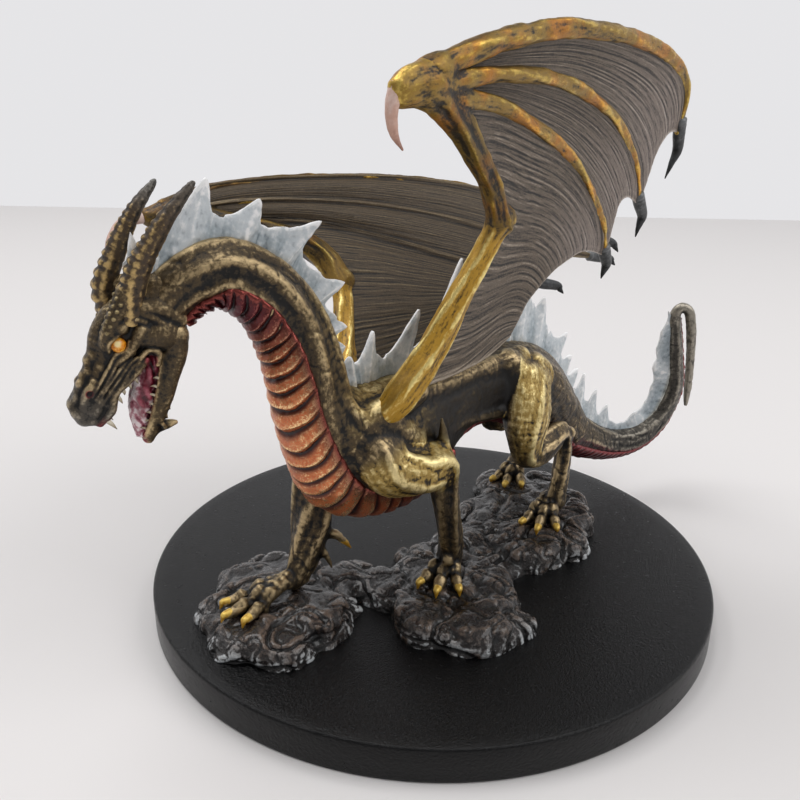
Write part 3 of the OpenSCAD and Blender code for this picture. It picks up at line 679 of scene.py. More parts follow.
# Small points that stand out from the forelegs
ELBOW_POINT = [[9.3, -8.8, 24.5, 1.2, 1.2], [9.4, -8.8, 27.6, 0.7, 0.7], [9.4, -9.2, 30.2, 0.2, 0.2]]
SPUR = [[-3, -18.4, 14.4, 0.9, 0.9], [-2, -16.4, 13.2, 0.7, 0.7], [-1.5, -15.2, 12, 0.45, 0.45]]
REAR_TOE = [[-2.4, -19.2, 12.8, 0.7, 0.7], [-1.5, -18.2, 11.2, 0.5, 0.5], [-1, -17.6, 9.2, 0.15, 0.15]]

# Muscles of both sides: how far they blend, then stations beside the middle plane
MUSCLES = [
    # Shoulder blade, breast and the cords from the neck to the shoulder
    (0.8, (3.6, -20, 30, 1.6, 2.2), (4.6, -15.5, 32.4, 1.6, 2), (4.6, -11, 33.6, 1.3, 1.5)),
    (0.6, (4.8, -16, 31, 1.6, 1.8), (5.6, -13, 27.5, 1.6, 2.4)),
    (0.5, (2.8, -21.6, 35, 0.8, 0.9), (4.4, -19, 31.5, 0.9, 1), (6, -16, 28.6, 1)),
    (0.5, (3.2, -22.4, 31, 0.7, 0.8), (5.4, -19.4, 27.6, 0.8, 0.9)),
    # Muscle beside the spine, folds of the flank, and the hip
    (0.8, (3.4, -12, 33, 1.5), (3.2, -5, 32.6, 1.3), (2.8, 3, 32.6, 1.2), (2.8, 11, 32.4, 1.4)),
    (0.7, (4.6, -8, 27.6, 0.6, 0.7), (4.4, -1, 27, 0.6), (4.2, 7, 26, 0.7, 0.8)),
    (1.0, (3.4, 8, 32.4, 1.6), (4.6, 10.5, 28, 1.8, 2.6)),
    (0.9, (3.6, 13, 31, 1.6, 1.8), (3.6, 18, 27, 1.7, 2), (2.8, 23, 22, 1.4, 1.6))
]
# Kneecap and heel of each hind leg, the knobs of each wrist and of the left elbow: x, y, z and radius
KNOBS = [
    (9.2, 9, 19.2, 0.8), (8.4, 19.9, 19.6, 0.9), (-4.6, 17.8, 19, 1.1), (-4, 26.6, 19, 0.9),
    (9.3, -7.2, 10.4, 0.8), (-4, -20.8, 10.6, 0.8), (10.4, -11.4, 25.6, 1.4)
]
# Each foot is (ankle, heading in degrees, reach to the claw tips, spread of the outer toes)
FEET = [
    ((7.4, -4.6, 8.8), 28, 6.8, 25), ((-2.9, -22.6, 8.8), -4, 9.6, 16),
    ((7, 18, 8.8), 24, 7.6, 22), ((-4.3, 25, 8.8), 22, 6.6, 24)
]
TOE_Z = 7.9  # height of the toes' middles
CLAW_FROM = 0.86  # share of a toe's reach where its claw starts


def toe_point(foot, side, share, lift=0.0):
    """Place along a toe: side is -1, 0 or 1, and share runs from the ankle to the claw's tip."""
    (x, y, z), heading, reach, spread = foot
    a = math.radians(heading + side * spread)
    run = reach * (1.05 if side == 0 else 0.95) * share
    drop = (TOE_Z - z) * min(share * 1.4, 1)
    return np.array([x + math.sin(a) * run, y - math.cos(a) * run, z + drop + lift])


def add_foot(clay, foot):
    """Three toes with knuckles and pads, and a short toe behind."""
    size = foot[2] / 7
    for side in (-1, 0, 1):
        clay.add([[*toe_point(foot, side, f, h), w, w] for f, h, w in (
            (0, 0.2, 1.25), (0.2, 0.7, 0.95), (0.36, 0.5, 0.8), (0.46, 0.75, 0.9), (0.58, 0.1, 0.72),
            (0.7, 0.25, 0.8), (0.8, 0.0, 0.68), (0.9, -0.15, 0.56))], 0.3)
        for share, lift in ((0.3, 1.2), (0.46, 1.35), (0.7, 0.8)):
            clay.ball(*toe_point(foot, side, share, lift), 0.4 * size**0.5, 0.25)
        clay.ball(*toe_point(foot, side, 0.6, -0.5), 0.7, 0.3)
    clay.add([[*toe_point(foot, 0, 0), 1, 1], [*toe_point(foot, 0, -0.24), 0.6, 0.6]], 0.4)


def body_clay():
    clay = Clay((-9, -39, 6.4), (14, 53, 54), FINE)
    clay.add(TORSO, 0.6, count=60)
    clay.add(NECK, 1.6, count=60)
    clay.add(TAIL, 1.2, count=70)
    clay.add(TAIL_TIP, 0.3, count=40)
    for leg, foot in zip(LEGS, FEET):
        clay.add(leg, 0.9, count=50)
        for chain in strands(leg, 5, 0.35, 0.3):
            clay.add(chain, 0.35, count=24)
        add_foot(clay, foot)
    for side in (-1, 1):
        for blend, *rows in MUSCLES:
            clay.add(out_from_middle(side, *rows), blend)
    for chain in strands(NECK[1:], 7, 0.3, 0.22, first=0.06):
        clay.add(chain, 0.45, count=40)
    for chain in strands(TAIL, 6, 0.2, 0.1):
        clay.add(chain, 0.4, count=50)
    for chain in (ELBOW_POINT, SPUR, REAR_TOE):
        clay.add(chain, 0.5)
    for x, y, z, r in KNOBS:
        clay.ball(x, y, z, r, 0.6)
    return clay


def gap_to_run(points, run):
    """Distance to the straight line between two places."""
    a, b = np.array(run, float)
    t = ((points - a) @ (b - a) / ((b - a) @ (b - a))).clip(0, 1)
    return np.linalg.norm(points - a - t[:, None] * (b - a), axis=1)


def wrinkled(points, quads, grain, depth=1.0):
    """Sinews drawn out along the limbs, crossing wrinkles and fine leathery grain."""
    n = normals(points, quads)
    sinew = fbm(grain, 1.0, 3, 11) * 0.1
    warp = points + 0.6 * np.stack([noise(points, 1.3, s) for s in (12, 13, 14)], 1)
    wrinkle = (creases(warp, 1.9, 3) - 1) * 0.05 + (creases(warp, 0.8, 5) - 1) * 0.03
    fine = fbm(points, 0.5, 2, 21) * 0.03
    return points + n * ((sinew + wrinkle + fine) * depth)[:, None]


# Numbers that flow gives to the limbs of the body
ON_TORSO, ON_NECK, ON_TAIL, ON_TAIL_TIP, ON_HINDLEG_LEFT = 0, 1, 2, 3, 6
ELBOW_POINT_TOP = [9.4, -9, 29.2]


def body_marks(points, n, share, which):
    """Where the body's gold paint and painted gold highlights, its crimson and dusty paints, and its painted
    shade go.
    """
    x, y, z = points.T
    trunk = which <= ON_NECK
    arm = soft(gap_to_run(points, GOLDEN_ARM), 4.2, 2.8) * soft(x, 5.5, 7.5)
    # Painted highlight: gold on the faces of the left thigh that turn towards the light
    faces_to_light = soft(0.9 * n[:, 0] - 0.2 * n[:, 1], 0.3, 0.85)
    thigh = 0.95 * (which == ON_HINDLEG_LEFT) * soft(share, 0.46, 0.3) * faces_to_light
    # Painted highlight: gold on the upward faces of the left shoulder
    shoulder = 0.45 * trunk * soft(n[:, 2], 0.1, 0.7) * soft(y, -26, -20) * soft(y, -6, -12) * (x > 3)
    under = soft(-n[:, 2], 0.25, 0.7) * soft(np.abs(x - MID_X), 4.4, 3.2) * trunk * (y < 24) * (z < 27)
    tail_red = soft(-n[:, 2], 0.1, 0.45) * (which == ON_TAIL) * soft(share, 0.72, 0.5)
    dust = soft(share, 0.05, 0.4) * (which == ON_TAIL) * 0.85 + (which == ON_TAIL_TIP) * 0.85
    # Painted shade on the flank under the wing and round the elbow point; the shade mark also darkens
    # everything low down at the feet
    flank = (which == ON_TORSO) * soft(z, 34, 30) * soft(y, -15, -7) * soft(y, 15, 8) * soft(x, -3, 5)
    flank = flank * (1 + 0.3 * fbm(points, 2.5, 2, 16)).clip(0, 1)
    feet = 0.45 * soft(z, 14, 9.5)
    elbow = soft(np.linalg.norm(points - ELBOW_POINT_TOP, axis=1), 2.6, 1.4) * 0.8
    return {"gold_and_highlight": np.clip(arm + thigh + shoulder, 0, 1), "red": np.clip(under + tail_red, 0, 1),
            "dust": dust, "shade": 0.92 * np.maximum.reduce((flank, feet, elbow))}


def make_body(material):
    points, quads = body_clay().mesh()
    limbs = [(k, SIDEWAYS) for k in (TORSO, NECK, TAIL, TAIL_TIP, *LEGS)]
    grain, share, which = flow(points, limbs)
    points = wrinkled(points, quads, grain, 1 + 0.8 * soft(points[:, 2], 15, 12))
    marks = body_marks(points, normals(points, quads), share, which)
    piece("dragon_body", (points, quads), material, [
        "torso", "neck", "tail_root", "tail_rise", "tail_tip", "foreleg_left", "foreleg_right",
        "hindleg_left", "hindleg_right"], {"flow": grain, **marks})


# ---- belly plates

# Middle of the band of plates, from under the chest up to the throat
CHEST_TO_THROAT = [
    [MID_X, -5, 27.4, 5.2, 6.4], [MID_X, -9, 26.8, 5.8, 7.6], [MID_X, -13.5, 26.6, 5.8, 7.9],
    [MID_X, -17.4, 27.2, 5.2, 7], [MID_X, -19.8, 29.4, 4.7, 5.6], [MID_X, -22.2, 33.5, 4.1, 4.3], *NECK[3:]
]


PLATE_ROWS = 14  # rows of points in each plate
PLATE_COLS = 44


def plate_band(stations, turn, half_angle, count, thick, grow, seed):
    """Overlapping plates round one side of a limb. turn is the angle of the band's middle.

    Returns the shape, and for each point its nearness to a seam, its share of the length and
    its place across the band."""
    rows = count * PLATE_ROWS
    path = along(stations, rows)
    _, across, up = frames(path, SIDEWAYS)
    c = np.linspace(-1, 1, PLATE_COLS + 1)[None, :]
    s = np.arange(rows + 1)[:, None] / PLATE_ROWS
    # The free edge of each plate bows towards the chest at the middle of the band
    f = (s - c**2 + 0.05 * np.sin(5 * c + 2.4 * s)) % 1.0
    edge = np.cos(c * math.pi / 2)**0.3
    lift = thick * soft(f, 0.0, 0.3) * (1 - 0.6 * f) * soft(f, 1.0, 0.86) * edge
    a = turn + c * half_angle

    def grid(extra):
        return (path[:, None, :3]
                + across[:, None, :] * ((path[:, 3:4] * grow + extra) * np.cos(a))[..., None]
                + up[:, None, :] * ((path[:, 4:5] * grow + extra) * np.sin(a))[..., None])

    seam = np.maximum(soft(f, 0.14, 0.0), soft(f, 0.62, 1.0)).ravel()
    share = (s / count + 0 * c).ravel()
    marks = [np.tile(v, 2) for v in (seam, share, (c + 0 * s).ravel())]
    return rough(slab(grid(lift), grid(-0.9 + 0 * lift)), 0.8, 3, seed, 0.1), marks


def make_plates(copper, crimson):
    front = -math.pi / 2
    below = math.pi / 2
    shape, (seam, share, around) = plate_band(CHEST_TO_THROAT, front, 1.1, 31, 0.7, 1.12, 31)
    piece("neck_plates", shape, copper, ["neck_scutes"],
          {"throat": soft(share, 0.48, 0.74), "belly": soft(share, 0.3, 0.12),
           "seam": np.maximum(seam, soft(np.abs(around), 0.6, 1.0))}, fine=6, coarse=20)
    shape, _ = plate_band(TORSO[3:-1], below, 0.8, 14, 0.5, 0.99, 33)
    piece("belly_plates", shape, crimson, ["belly_scutes"])
    shape, _ = plate_band(TAIL, below, 1.1, 36, 0.3, 1.06, 35)
    piece("tail_plates", shape, crimson, ["tail_scutes_root", "tail_scutes_rise"])


# ---- head

# The head's place, and its directions to the left, forward and up
HEAD_AT = np.array([-5.4, -39.7, 43.3])
HEAD_L = unit([0.94, -0.34, 0])
TO_NOSE = np.array([-3, -8.3, -10.2])
HEAD_F = unit(TO_NOSE - HEAD_L * (TO_NOSE @ HEAD_L))
HEAD_U = np.cross(HEAD_F, HEAD_L)
SIDES = ((1, "left"), (-1, "right"))


def head(f, l, u):
    """Point from head measures: forward, to its left, up."""
    return HEAD_AT + HEAD_F * f + HEAD_L * l + HEAD_U * u


def in_head(points):
    """The head measures of points."""
    d = points - HEAD_AT
    return d @ HEAD_F, d @ HEAD_L, d @ HEAD_U


def head_run(*stations, side=1):
    """Stations given as forward, left, up, half width and, where it differs, half height."""
    return [[*head(f, side * l, u), w, *(h or [w])] for f, l, u, w, *h in stations]


class HeadClay(Clay):
    """Clay worked in head measures. side is 1 on the head's left and -1 on its right."""

    def fold(self, side, blend, *stations):
        self.add(head_run(*stations, side=side), blend, HEAD_L)

    def lump(self, side, f, l, u, r, blend, cut=False):
        self.ball(*head(f, side * l, u), r, blend, cut)


def brow_knobs(s):
    """Rows of knobs over the brow ridge, from the eye back to the horn."""
    knobs = []
    for row, a in enumerate((0.3, 0.95, 1.6)):
        for k in range(7):
            f = 2.0 - 0.75 * k - 0.2 * row
            # The ridge's place to the left, its height and its radius, from the horn forward
            l, u, r = (np.interp(f, (-3.6, -1.6, 0.6, 2.2), v) for v in (
                (2.0, 2.2, 2.0, 1.3), (2.9, 2.7, 2.2, 1.3), (1.25, 0.95, 0.75, 0.45)))
            knobs.append((head(f, s * (l + r * math.cos(a)), u + r * math.sin(a)), 0.12 + 0.012 * k))
    return knobs


def add_cheek(clay, s):
    """Cheek bone, jaw muscle and the folds behind and before them."""
    clay.fold(s, 0.4, (2.4, 1.9, -0.2, 0.4), (0.6, 2.3, -0.4, 0.5), (-1.6, 2.5, 0, 0.6))
    clay.fold(s, 0.4, (-1.2, 2.0, -0.6, 1.0, 1.2), (-2.4, 1.9, -2.0, 1.3, 1.6), (-2.6, 1.4, -3.8, 1.1, 1.3))
    clay.fold(s, 0.3, (-3.4, 2.1, 1.0, 0.8), (-4.4, 2.1, -0.6, 0.8, 0.9), (-4.4, 1.6, -2.8, 0.8, 0.9))
    clay.fold(s, 0.2, (-2.6, 2.2, 1.4, 0.5), (-3.2, 2.4, 0, 0.5), (-3.1, 2.4, -1.4, 0.4))
    clay.fold(s, 0.2, (-1.0, 2.5, 1.7, 0.4), (-2.0, 2.5, 1.2, 0.4), (-2.4, 2.5, 0.2, 0.35))
    # Flowing folds from the cheek to the nose
    for k in range(5):
        drop = 0.52 * k
        wave = 0.12 * math.sin(2.1 * k)
        clay.fold(s, 0.12, (0.2 + 0.25 * k, 2.2, 0.15 - drop, 0.18), (1.9, 2.05, 0.35 - drop + wave, 0.24),
                  (3.5, 1.9, 0.1 - 0.92 * drop, 0.23), (5.2, 1.7, -0.15 - 0.85 * drop - wave, 0.24),
                  (6.6, 1.62, -0.35 - 0.8 * drop, 0.17))


def add_muzzle(clay, s):
    """Upper lip, nostril, wrinkles over the nose and its blunt end."""
    clay.fold(s, 0.25, (0.8, 1.9, -2.3, 0.45), (3.2, 1.75, -2.2, 0.42), (5.2, 1.6, -2.0, 0.42),
              (6.9, 1.45, -2.7, 0.5), (8.6, 1.0, -2.7, 0.45))
    clay.fold(s, 0.25, (5.4, 1.35, 0.3, 0.45, 0.4), (6.6, 1.45, 0.2, 0.6, 0.5), (7.8, 1.2, -0.3, 0.5))
    for k in range(4):
        f = 0.8 * k
        drop = 0.18 * k
        clay.fold(s, 0.15, (3.0 + f, 0, 1.7 - drop, 0.2), (3.3 + f, 0.9, 1.2 - drop, 0.18),
                  (3.9 + f, 1.5, 0.5 - drop, 0.12))
    clay.lump(s, 6.5, 2.05, 0.1, 0.3, 0.15, cut=True)
    for lump in ((8.9, 0.7, -0.4, 0.6), (9.3, 0.5, -1.4, 0.55), (8.7, 1.1, -1.9, 0.5),
                 (7.6, 1.4, -1.5, 0.45)):
        clay.lump(s, *lump, 0.6)
    clay.fold(s, 0.5, (6.8, 1.35, -1.2, 0.5, 0.7), (7.9, 1.2, -1.2, 0.55, 0.8), (8.9, 0.7, -1.3, 0.5, 0.6))


def head_clay():
    clay = HeadClay((-12, -48, 30), (2, -32, 54), HEAD_FINE)
    # Cranium, snout and nose
    skull = head_run((-5.5, 0, -0.5, 2.5, 2.7), (-2.5, 0, 0.6, 2.5, 2.7), (0.5, 0, 0.7, 2.2, 2.7),
                     (2.8, 0, -0.2, 1.8, 2.3), (5.0, 0, -0.6, 1.6, 2.0), (7.0, 0, -0.9, 1.5, 1.85),
                     (8.6, 0, -1.3, 1.25, 1.5))
    clay.add(skull, 0.5, HEAD_L, 40)
    clay.fold(1, 0.5, (-1, 0, 2.6, 0.9, 0.8), (1.2, 0, 2.6, 0.7, 0.6), (4, 0, 1.5, 0.5, 0.4),
              (7, 0, 0.7, 0.5, 0.4), (8.6, 0, 0, 0.7, 0.6))
    for s in (-1, 1):
        # Brow ridge that grows into the horn
        clay.fold(s, 0.4, (2.2, 1.3, 1.3, 0.4), (0.6, 2.0, 2.2, 0.7), (-1.6, 2.2, 2.7, 0.9),
                  (-3.6, 2.0, 2.9, 1.2))
        clay.lump(s, 0.3, 2.0, 1.95, 0.65, 0.4)
        clay.lump(s, -0.7, 2.3, 1.6, 0.7, 0.4)
        # Lumps over the bridge of the nose
        for k in range(9):
            two, three = k % 2, k % 3
            clay.lump(s, 2.6 + 0.75 * k, 0.35 + 0.3 * two, 1.75 - 0.2 * k + 0.15 * three,
                      0.3 + 0.06 * three, 0.5)
            clay.lump(s, 3.0 + 0.75 * k, 1.15 + 0.12 * two, 0.95 - 0.22 * k, 0.2 + 0.04 * two, 0.6)
        clay.lump(s, 1.5, 1.75, 1.6, 0.5, 0.4)
        for at, r in brow_knobs(s):
            clay.ball(*at, r, 0.16)
        add_cheek(clay, s)
        add_muzzle(clay, s)
        # Eye socket with lids
        clay.lump(s, 0.9, 2.6, 0.8, 0.8, 0.2, cut=True)
        clay.fold(s, 0.15, (2.0, 1.9, 1.0, 0.2), (1.2, 2.35, 1.65, 0.3, 0.26), (0, 2.4, 1.5, 0.3))
        clay.fold(s, 0.15, (1.9, 1.95, 0.5, 0.2), (1.0, 2.35, -0.05, 0.24, 0.2), (0, 2.4, 0.2, 0.25, 0.2))
        # Ring at the corner of the mouth
        clay.fold(s, 0.12, (2.0, 2.0, -2.0, 0.26), (0.7, 2.2, -1.7, 0.3), (-0.4, 2.3, -1.9, 0.34),
                  (-0.6, 2.2, -2.8, 0.34), (0.4, 2.0, -3.5, 0.3))
    clay.lump(1, -1.0, 0, -2.2, 2.1, 0.5)
    roof = head_run((0.4, 0, -2.9, 2.0, 0.7), (4, 0, -2.9, 1.3, 0.6), (7.6, 0, -3.2, 0.9, 0.5))
    clay.cut(roof, 0.2, HEAD_L)
    return clay


def jaw_clay():
    clay = HeadClay((-12, -46, 28), (2, -32, 46), HEAD_FINE)
    jaw = head_run((-2.8, 0, -3, 2.0, 1.8), (-0.6, 0, -4.4, 2.0, 1.5), (2, 0, -5.6, 1.8, 1.25),
                   (4.6, 0, -6.7, 1.6, 1.0), (6.6, 0, -7.5, 1.35, 0.85), (7.7, 0, -8.0, 0.8, 0.6))
    clay.add(jaw, 0.4, HEAD_L, 40)
    for s in (-1, 1):
        # Lip, then the muscle of the jaw
        clay.fold(s, 0.4, (-0.6, 1.75, -3.5, 0.2, 0.25), (1.4, 1.65, -4.6, 0.15, 0.2),
                  (4, 1.45, -6.1, 0.15, 0.2), (6.6, 1.2, -7.1, 0.2, 0.22), (7.9, 0.3, -7.7, 0.2))
        clay.fold(s, 0.5, (-3.0, 1.8, -3.2, 1.1, 1.3), (-1.4, 1.6, -4.5, 1.0, 1.1),
                  (0.6, 1.45, -5.4, 0.8, 0.9), (2.8, 1.25, -6.4, 0.65, 0.75), (5, 1.0, -7.2, 0.55, 0.6))
        # Wrinkles across it
        for k in range(9):
            f, narrow, drop = 0.95 * k, 0.1 * k, 0.42 * k
            clay.fold(s, 0.15, (-2.2 + f, 2.1 - narrow, -3.9 - drop, 0.16),
                      (-2.1 + f, 1.95 - narrow, -4.6 - drop, 0.2), (-1.9 + f, 1.6 - narrow, -5.1 - drop, 0.1))
    # Spur under the chin
    clay.fold(1, 0.4, (6.4, 0, -7.9, 0.8, 0.7), (5.4, 0.2, -8.7, 0.55, 0.5), (4.8, 0.4, -9.2, 0.25))
    floor = head_run((-0.6, 0, -2.8, 1.5, 0.9), (2, 0, -4.3, 1.3, 0.8), (5, 0, -5.9, 1.05, 0.6),
                     (7.0, 0, -6.9, 0.7, 0.4))
    clay.cut(floor, 0.2, HEAD_L)
    return clay


def gap_to(f, l, u, at):
    """Distance in head measures to a place that both sides of the head have."""
    return np.sqrt((f - at[0])**2 + (np.abs(l) - at[1])**2 + (u - at[2])**2)


def make_tongue(flesh):
    """The tongue and swollen inner lip, with a ragged crimson rim and a pale stippled middle."""
    run = head_run((-1.0, 0, -2.8, 1.2, 0.8), (0.8, -0.1, -3.4, 1.5, 0.9), (3, -0.15, -4.3, 1.55, 1.15),
                   (5, -0.2, -5.1, 1.4, 1.25), (6.6, -0.2, -6.2, 1.1, 0.95), (7.9, -0.1, -7.3, 0.5))

    def ragged(s, a):
        return (1 + 0.07 * np.sin(46 * s + 3 * np.sin(2 * a)) * np.abs(np.cos(a))
                + 0.05 * np.sin(21 * s + 5 * a) - 0.12 * np.exp(-((np.abs(a) - math.pi / 2) / 0.3)**2))

    points, quads = tube(run, 120, 56, HEAD_L, ragged)
    l = in_head(points)[1]
    points, quads = rough((points, quads), 0.5, 2, 45, 0.1)
    f = in_head(points)[0]
    middle = soft(np.abs(l + 0.1), 1.35, 1.05) * soft(f, 0.6, 2.4)
    piece("dragon_tongue", (points, quads), flesh, ["tongue"], {"middle": middle})


def tooth(*stations, side):
    """A tooth through stations from its root to its tip."""
    return tube(head_run(*stations, side=side), 10, 12, HEAD_F)


def make_teeth(bone):
    """Two rows of eight teeth a side, with a fang at the front of each."""
    upper, lower = [], []
    for s in (-1, 1):
        for k in range(8):
            f, l, u = 2.0 + 0.85 * k, 1.75 - 0.07 * k, -2.45 - (0.3 if k > 5 else 0)
            long, r = (1.6, 0.3) if k == 7 else (0.35 + 0.18 * ((k * 5) % 3), 0.22)
            upper.append(tooth((f, l, u, r), (f + 0.12, l * 1.03, u - long * 0.5, r * 0.75),
                               (f + 0.3, l * 1.05, u - long, 0.03), side=s))
            f, l, u = 1.6 + 0.85 * k, 1.62 - 0.12 * k, -4.4 - 0.47 * k
            long = 0.9 if k == 6 else 0.3 + 0.15 * ((k * 7) % 3)
            lower.append(tooth((f, l, u - 0.2, 0.17), (f + 0.15, l, u + long * 0.5, 0.12),
                               (f + 0.35, l, u + long, 0.03), side=s))
    piece("teeth_upper_row", merge(upper), bone, ["teeth_upper"])
    piece("teeth_lower_row", merge(lower), bone, ["teeth_lower"])


def make_skull(material):
    """The skull, crimson in the mouth and nostrils, with a silvery nose and dark brow knobs."""
    points, quads = head_clay().mesh()
    points = wrinkled(points, quads, points * 1.4, 0.45)
    f, l, u = in_head(points)
    nostril = soft(gap_to(f, l, u, (6.5, 1.9, 0.1)), 0.5, 0.3)
    mouth = soft(u, -2.2, -2.6) * soft(np.abs(l), 1.8, 1.4) * soft(f, -1.5, 0)
    corner = soft(gap_to(f, l, u, (0.4, 1.9, -2.6)), 0.95, 0.6)
    silver = soft(f, 5.6, 7.6) * 0.5 + 0.25 * soft(f, 1, 4) * soft(u, 0.5, -0.5)
    knobs = np.zeros(len(points))
    for at, r in brow_knobs(-1) + brow_knobs(1):
        knobs = np.maximum(knobs, soft(np.linalg.norm(points - at, axis=1), 1.5 * r, 0.8 * r))
    # The brow knobs get a painted gold highlight over a darker coat
    piece("dragon_skull", (points, quads), material, ["skull"],
          {"gold_and_highlight": 0.35 * knobs, "shade": 0.6 * knobs, "red": np.clip(nostril + mouth + corner, 0, 1),
           "dust": np.clip(silver, 0, 1)}, fine=6, coarse=30)


def make_jaw(material):
    points, quads = jaw_clay().mesh()
    points = wrinkled(points, quads, points * 1.4, 0.4)
    f, l, u = in_head(points)
    rim = u + 3.2 + (f + 0.4) * 0.52
    red = soft(rim, -0.7, -0.2) * soft(np.abs(l), 1.95 - 0.1 * f, 1.55 - 0.12 * f) * soft(f, -1.8, -0.8)
    piece("dragon_lower_jaw", (points, quads), material, ["lower_jaw"],
          {"gold_and_highlight": 0 * f, "red": red, "dust": 0 * f}, fine=6, coarse=30)


def make_eyes(amber):
    for s, name in SIDES:
        c = head(0.9, s * 1.98, 0.8)
        run = [[*(c + HEAD_F * f), r, r] for f, r in (
            (-0.74, 0.12), (-0.55, 0.57), (0, 0.8), (0.55, 0.57), (0.74, 0.12))]
        points, quads = tube(run, 32, 36, HEAD_L)
        glint = np.linalg.norm(points - c - HEAD_L * s * 0.7 - HEAD_U * 0.25 + HEAD_F * 0.1, axis=1)
        piece("eyeball_" + name, (points, quads), amber, ["eye_" + name],
              {"glint": soft(glint, 0.42, 0.2)})


# ---- horns, claws

HORN_LEFT = [
    [-3.9, -40.1, 45.2, 1.45, 1.45], [-3.4, -39.9, 48, 1.35, 1.35], [-2.9, -39, 50.6, 1.2, 1.2],
    [-2.3, -37.8, 52.8, 1.05, 1.05], [-1.8, -36.3, 55, 0.85, 0.85], [-1.0, -34.2, 57.6, 0.45, 0.45],
    [-0.8, -33.7, 58.1, 0.15, 0.15]
]
HORN_RIGHT = [
    [-7.6, -39.8, 44.8, 1.35, 1.35], [-7.9, -40.3, 47.8, 1.25, 1.25], [-7.5, -39.2, 50.8, 1.1, 1.1],
    [-7, -38, 53.4, 0.95, 0.95], [-6.6, -36.8, 55.4, 0.75, 0.75], [-6.05, -35.2, 57.5, 0.4, 0.4],
    [-5.9, -34.8, 58, 0.12, 0.12]
]


def horn_rings(s, a):
    """Knobby ridges up the front of the horn that fade out behind it, with a keel down each side."""
    f = (s * 19) % 1.0
    front = 0.5 - 0.5 * np.sin(a + 0.5)
    ring = soft(f, 0, 0.35) * soft(f, 1.0, 0.5) * (1 - s**3)
    keel = 0.05 * np.cos(3 * a + 1.2) + 0.02 * np.cos(7 * a + 9 * s)
    return 0.92 + ring * (0.03 + 0.15 * front**3) + keel


def make_horns(material):
    for stations, name, silver in ((HORN_LEFT, "left", 0.45), (HORN_RIGHT, "right", 1.0)):
        points, quads = rough(tube(stations, 300, 64, HEAD_L, horn_rings), 0.45, 3, 41, 0.07)
        grain, share, _ = flow(points, [(stations, HEAD_L)])
        piece("ridged_horn_" + name, (points, quads), material, ["horn_" + name],
              {"flow": grain, "silver": silver * soft(share, 0.6, 0.95)}, fine=8, coarse=30)


def claw(a, b, c, thick, side=SIDEWAYS):
    """A curved claw through three points with a groove on each side."""
    a, b, c = (np.array(place, float) for place in (a, b, c))
    run = [[*place, thick * share, thick * share] for place, share in (
        (a, 1), ((a + b) / 2, 0.95), (b, 0.78), ((b + c) / 2, 0.45))] + [[*c, 0.08, 0.08]]
    return rough(tube(run, 44, 24, side, lambda s, t: 1 - 0.1 * np.exp(-(np.cos(t) / 0.3)**2) + 0 * s),
                 0.5, 2, 47, 0.04)


def make_claws(gold):
    names = ["claws_fore_left", "claws_fore_right", "claws_hind_left", "claws_hind_right"]
    for foot, name in zip(FEET, names):
        parts = []
        for side in (-1, 0, 1):
            a = toe_point(foot, side, CLAW_FROM, 0.05)
            b = toe_point(foot, side, 0.96, 0.05)
            c = toe_point(foot, side, 1.0, -0.8)
            parts.append(claw(a, b, c, 0.52))
        # The spur's claw on the back of the right wrist
        if name == "claws_fore_right":
            parts.append(claw((-1.7, -15.5, 12.3), (-1.35, -14.8, 11.5), (-1.15, -14.2, 10.6), 0.45))
        piece(name + "_horn", merge(parts), gold, [name])


# ---- crests

FIN_ROWS = 20  # lines of points from one station of a fin to the next
FIN_COLS = 52


def fin_lines(stations, seed):
    """Lines across a fin: their numbers, feet, tips, and nearness to the fin's points.

    The web hangs in curves between blunt points."""
    k = np.array(stations, float)
    n = len(k) - 1
    s = np.linspace(0, n, n * FIN_ROWS + 1)
    i = np.minimum(s.astype(int), n - 1)
    f = s - i
    height = np.linalg.norm(k[:, 1] - k[:, 0], axis=1)
    peak = np.zeros(n + 1)
    peak[1:-1] = (height[1:-1] > height[:-2]) & (height[1:-1] > height[2:])
    near = peak[i] * (1 - f) + peak[i + 1] * f
    bent = np.where(height[i + 1] > height[i], f**1.7, 1 - (1 - f)**1.7)
    foot = k[i, 0] * (1 - f[:, None]) + k[i + 1, 0] * f[:, None]
    tip = k[i, 1] * (1 - bent[:, None]) + k[i + 1, 1] * bent[:, None]
    tip += (foot - tip) * (0.16 * np.sin(math.pi * f))[:, None]
    for _ in range(20):
        tip[1:-1] = (tip[:-2] + 2 * tip[1:-1] + tip[2:]) / 4
    tip = foot + (tip - foot) * (1 + 0.2 * near[:, None]**2)
    tip += (foot - tip) * 0.03 * noise(np.column_stack([s * 4, s * 0, s * 0]), 1, seed)[:, None]
    return s, foot, tip, near


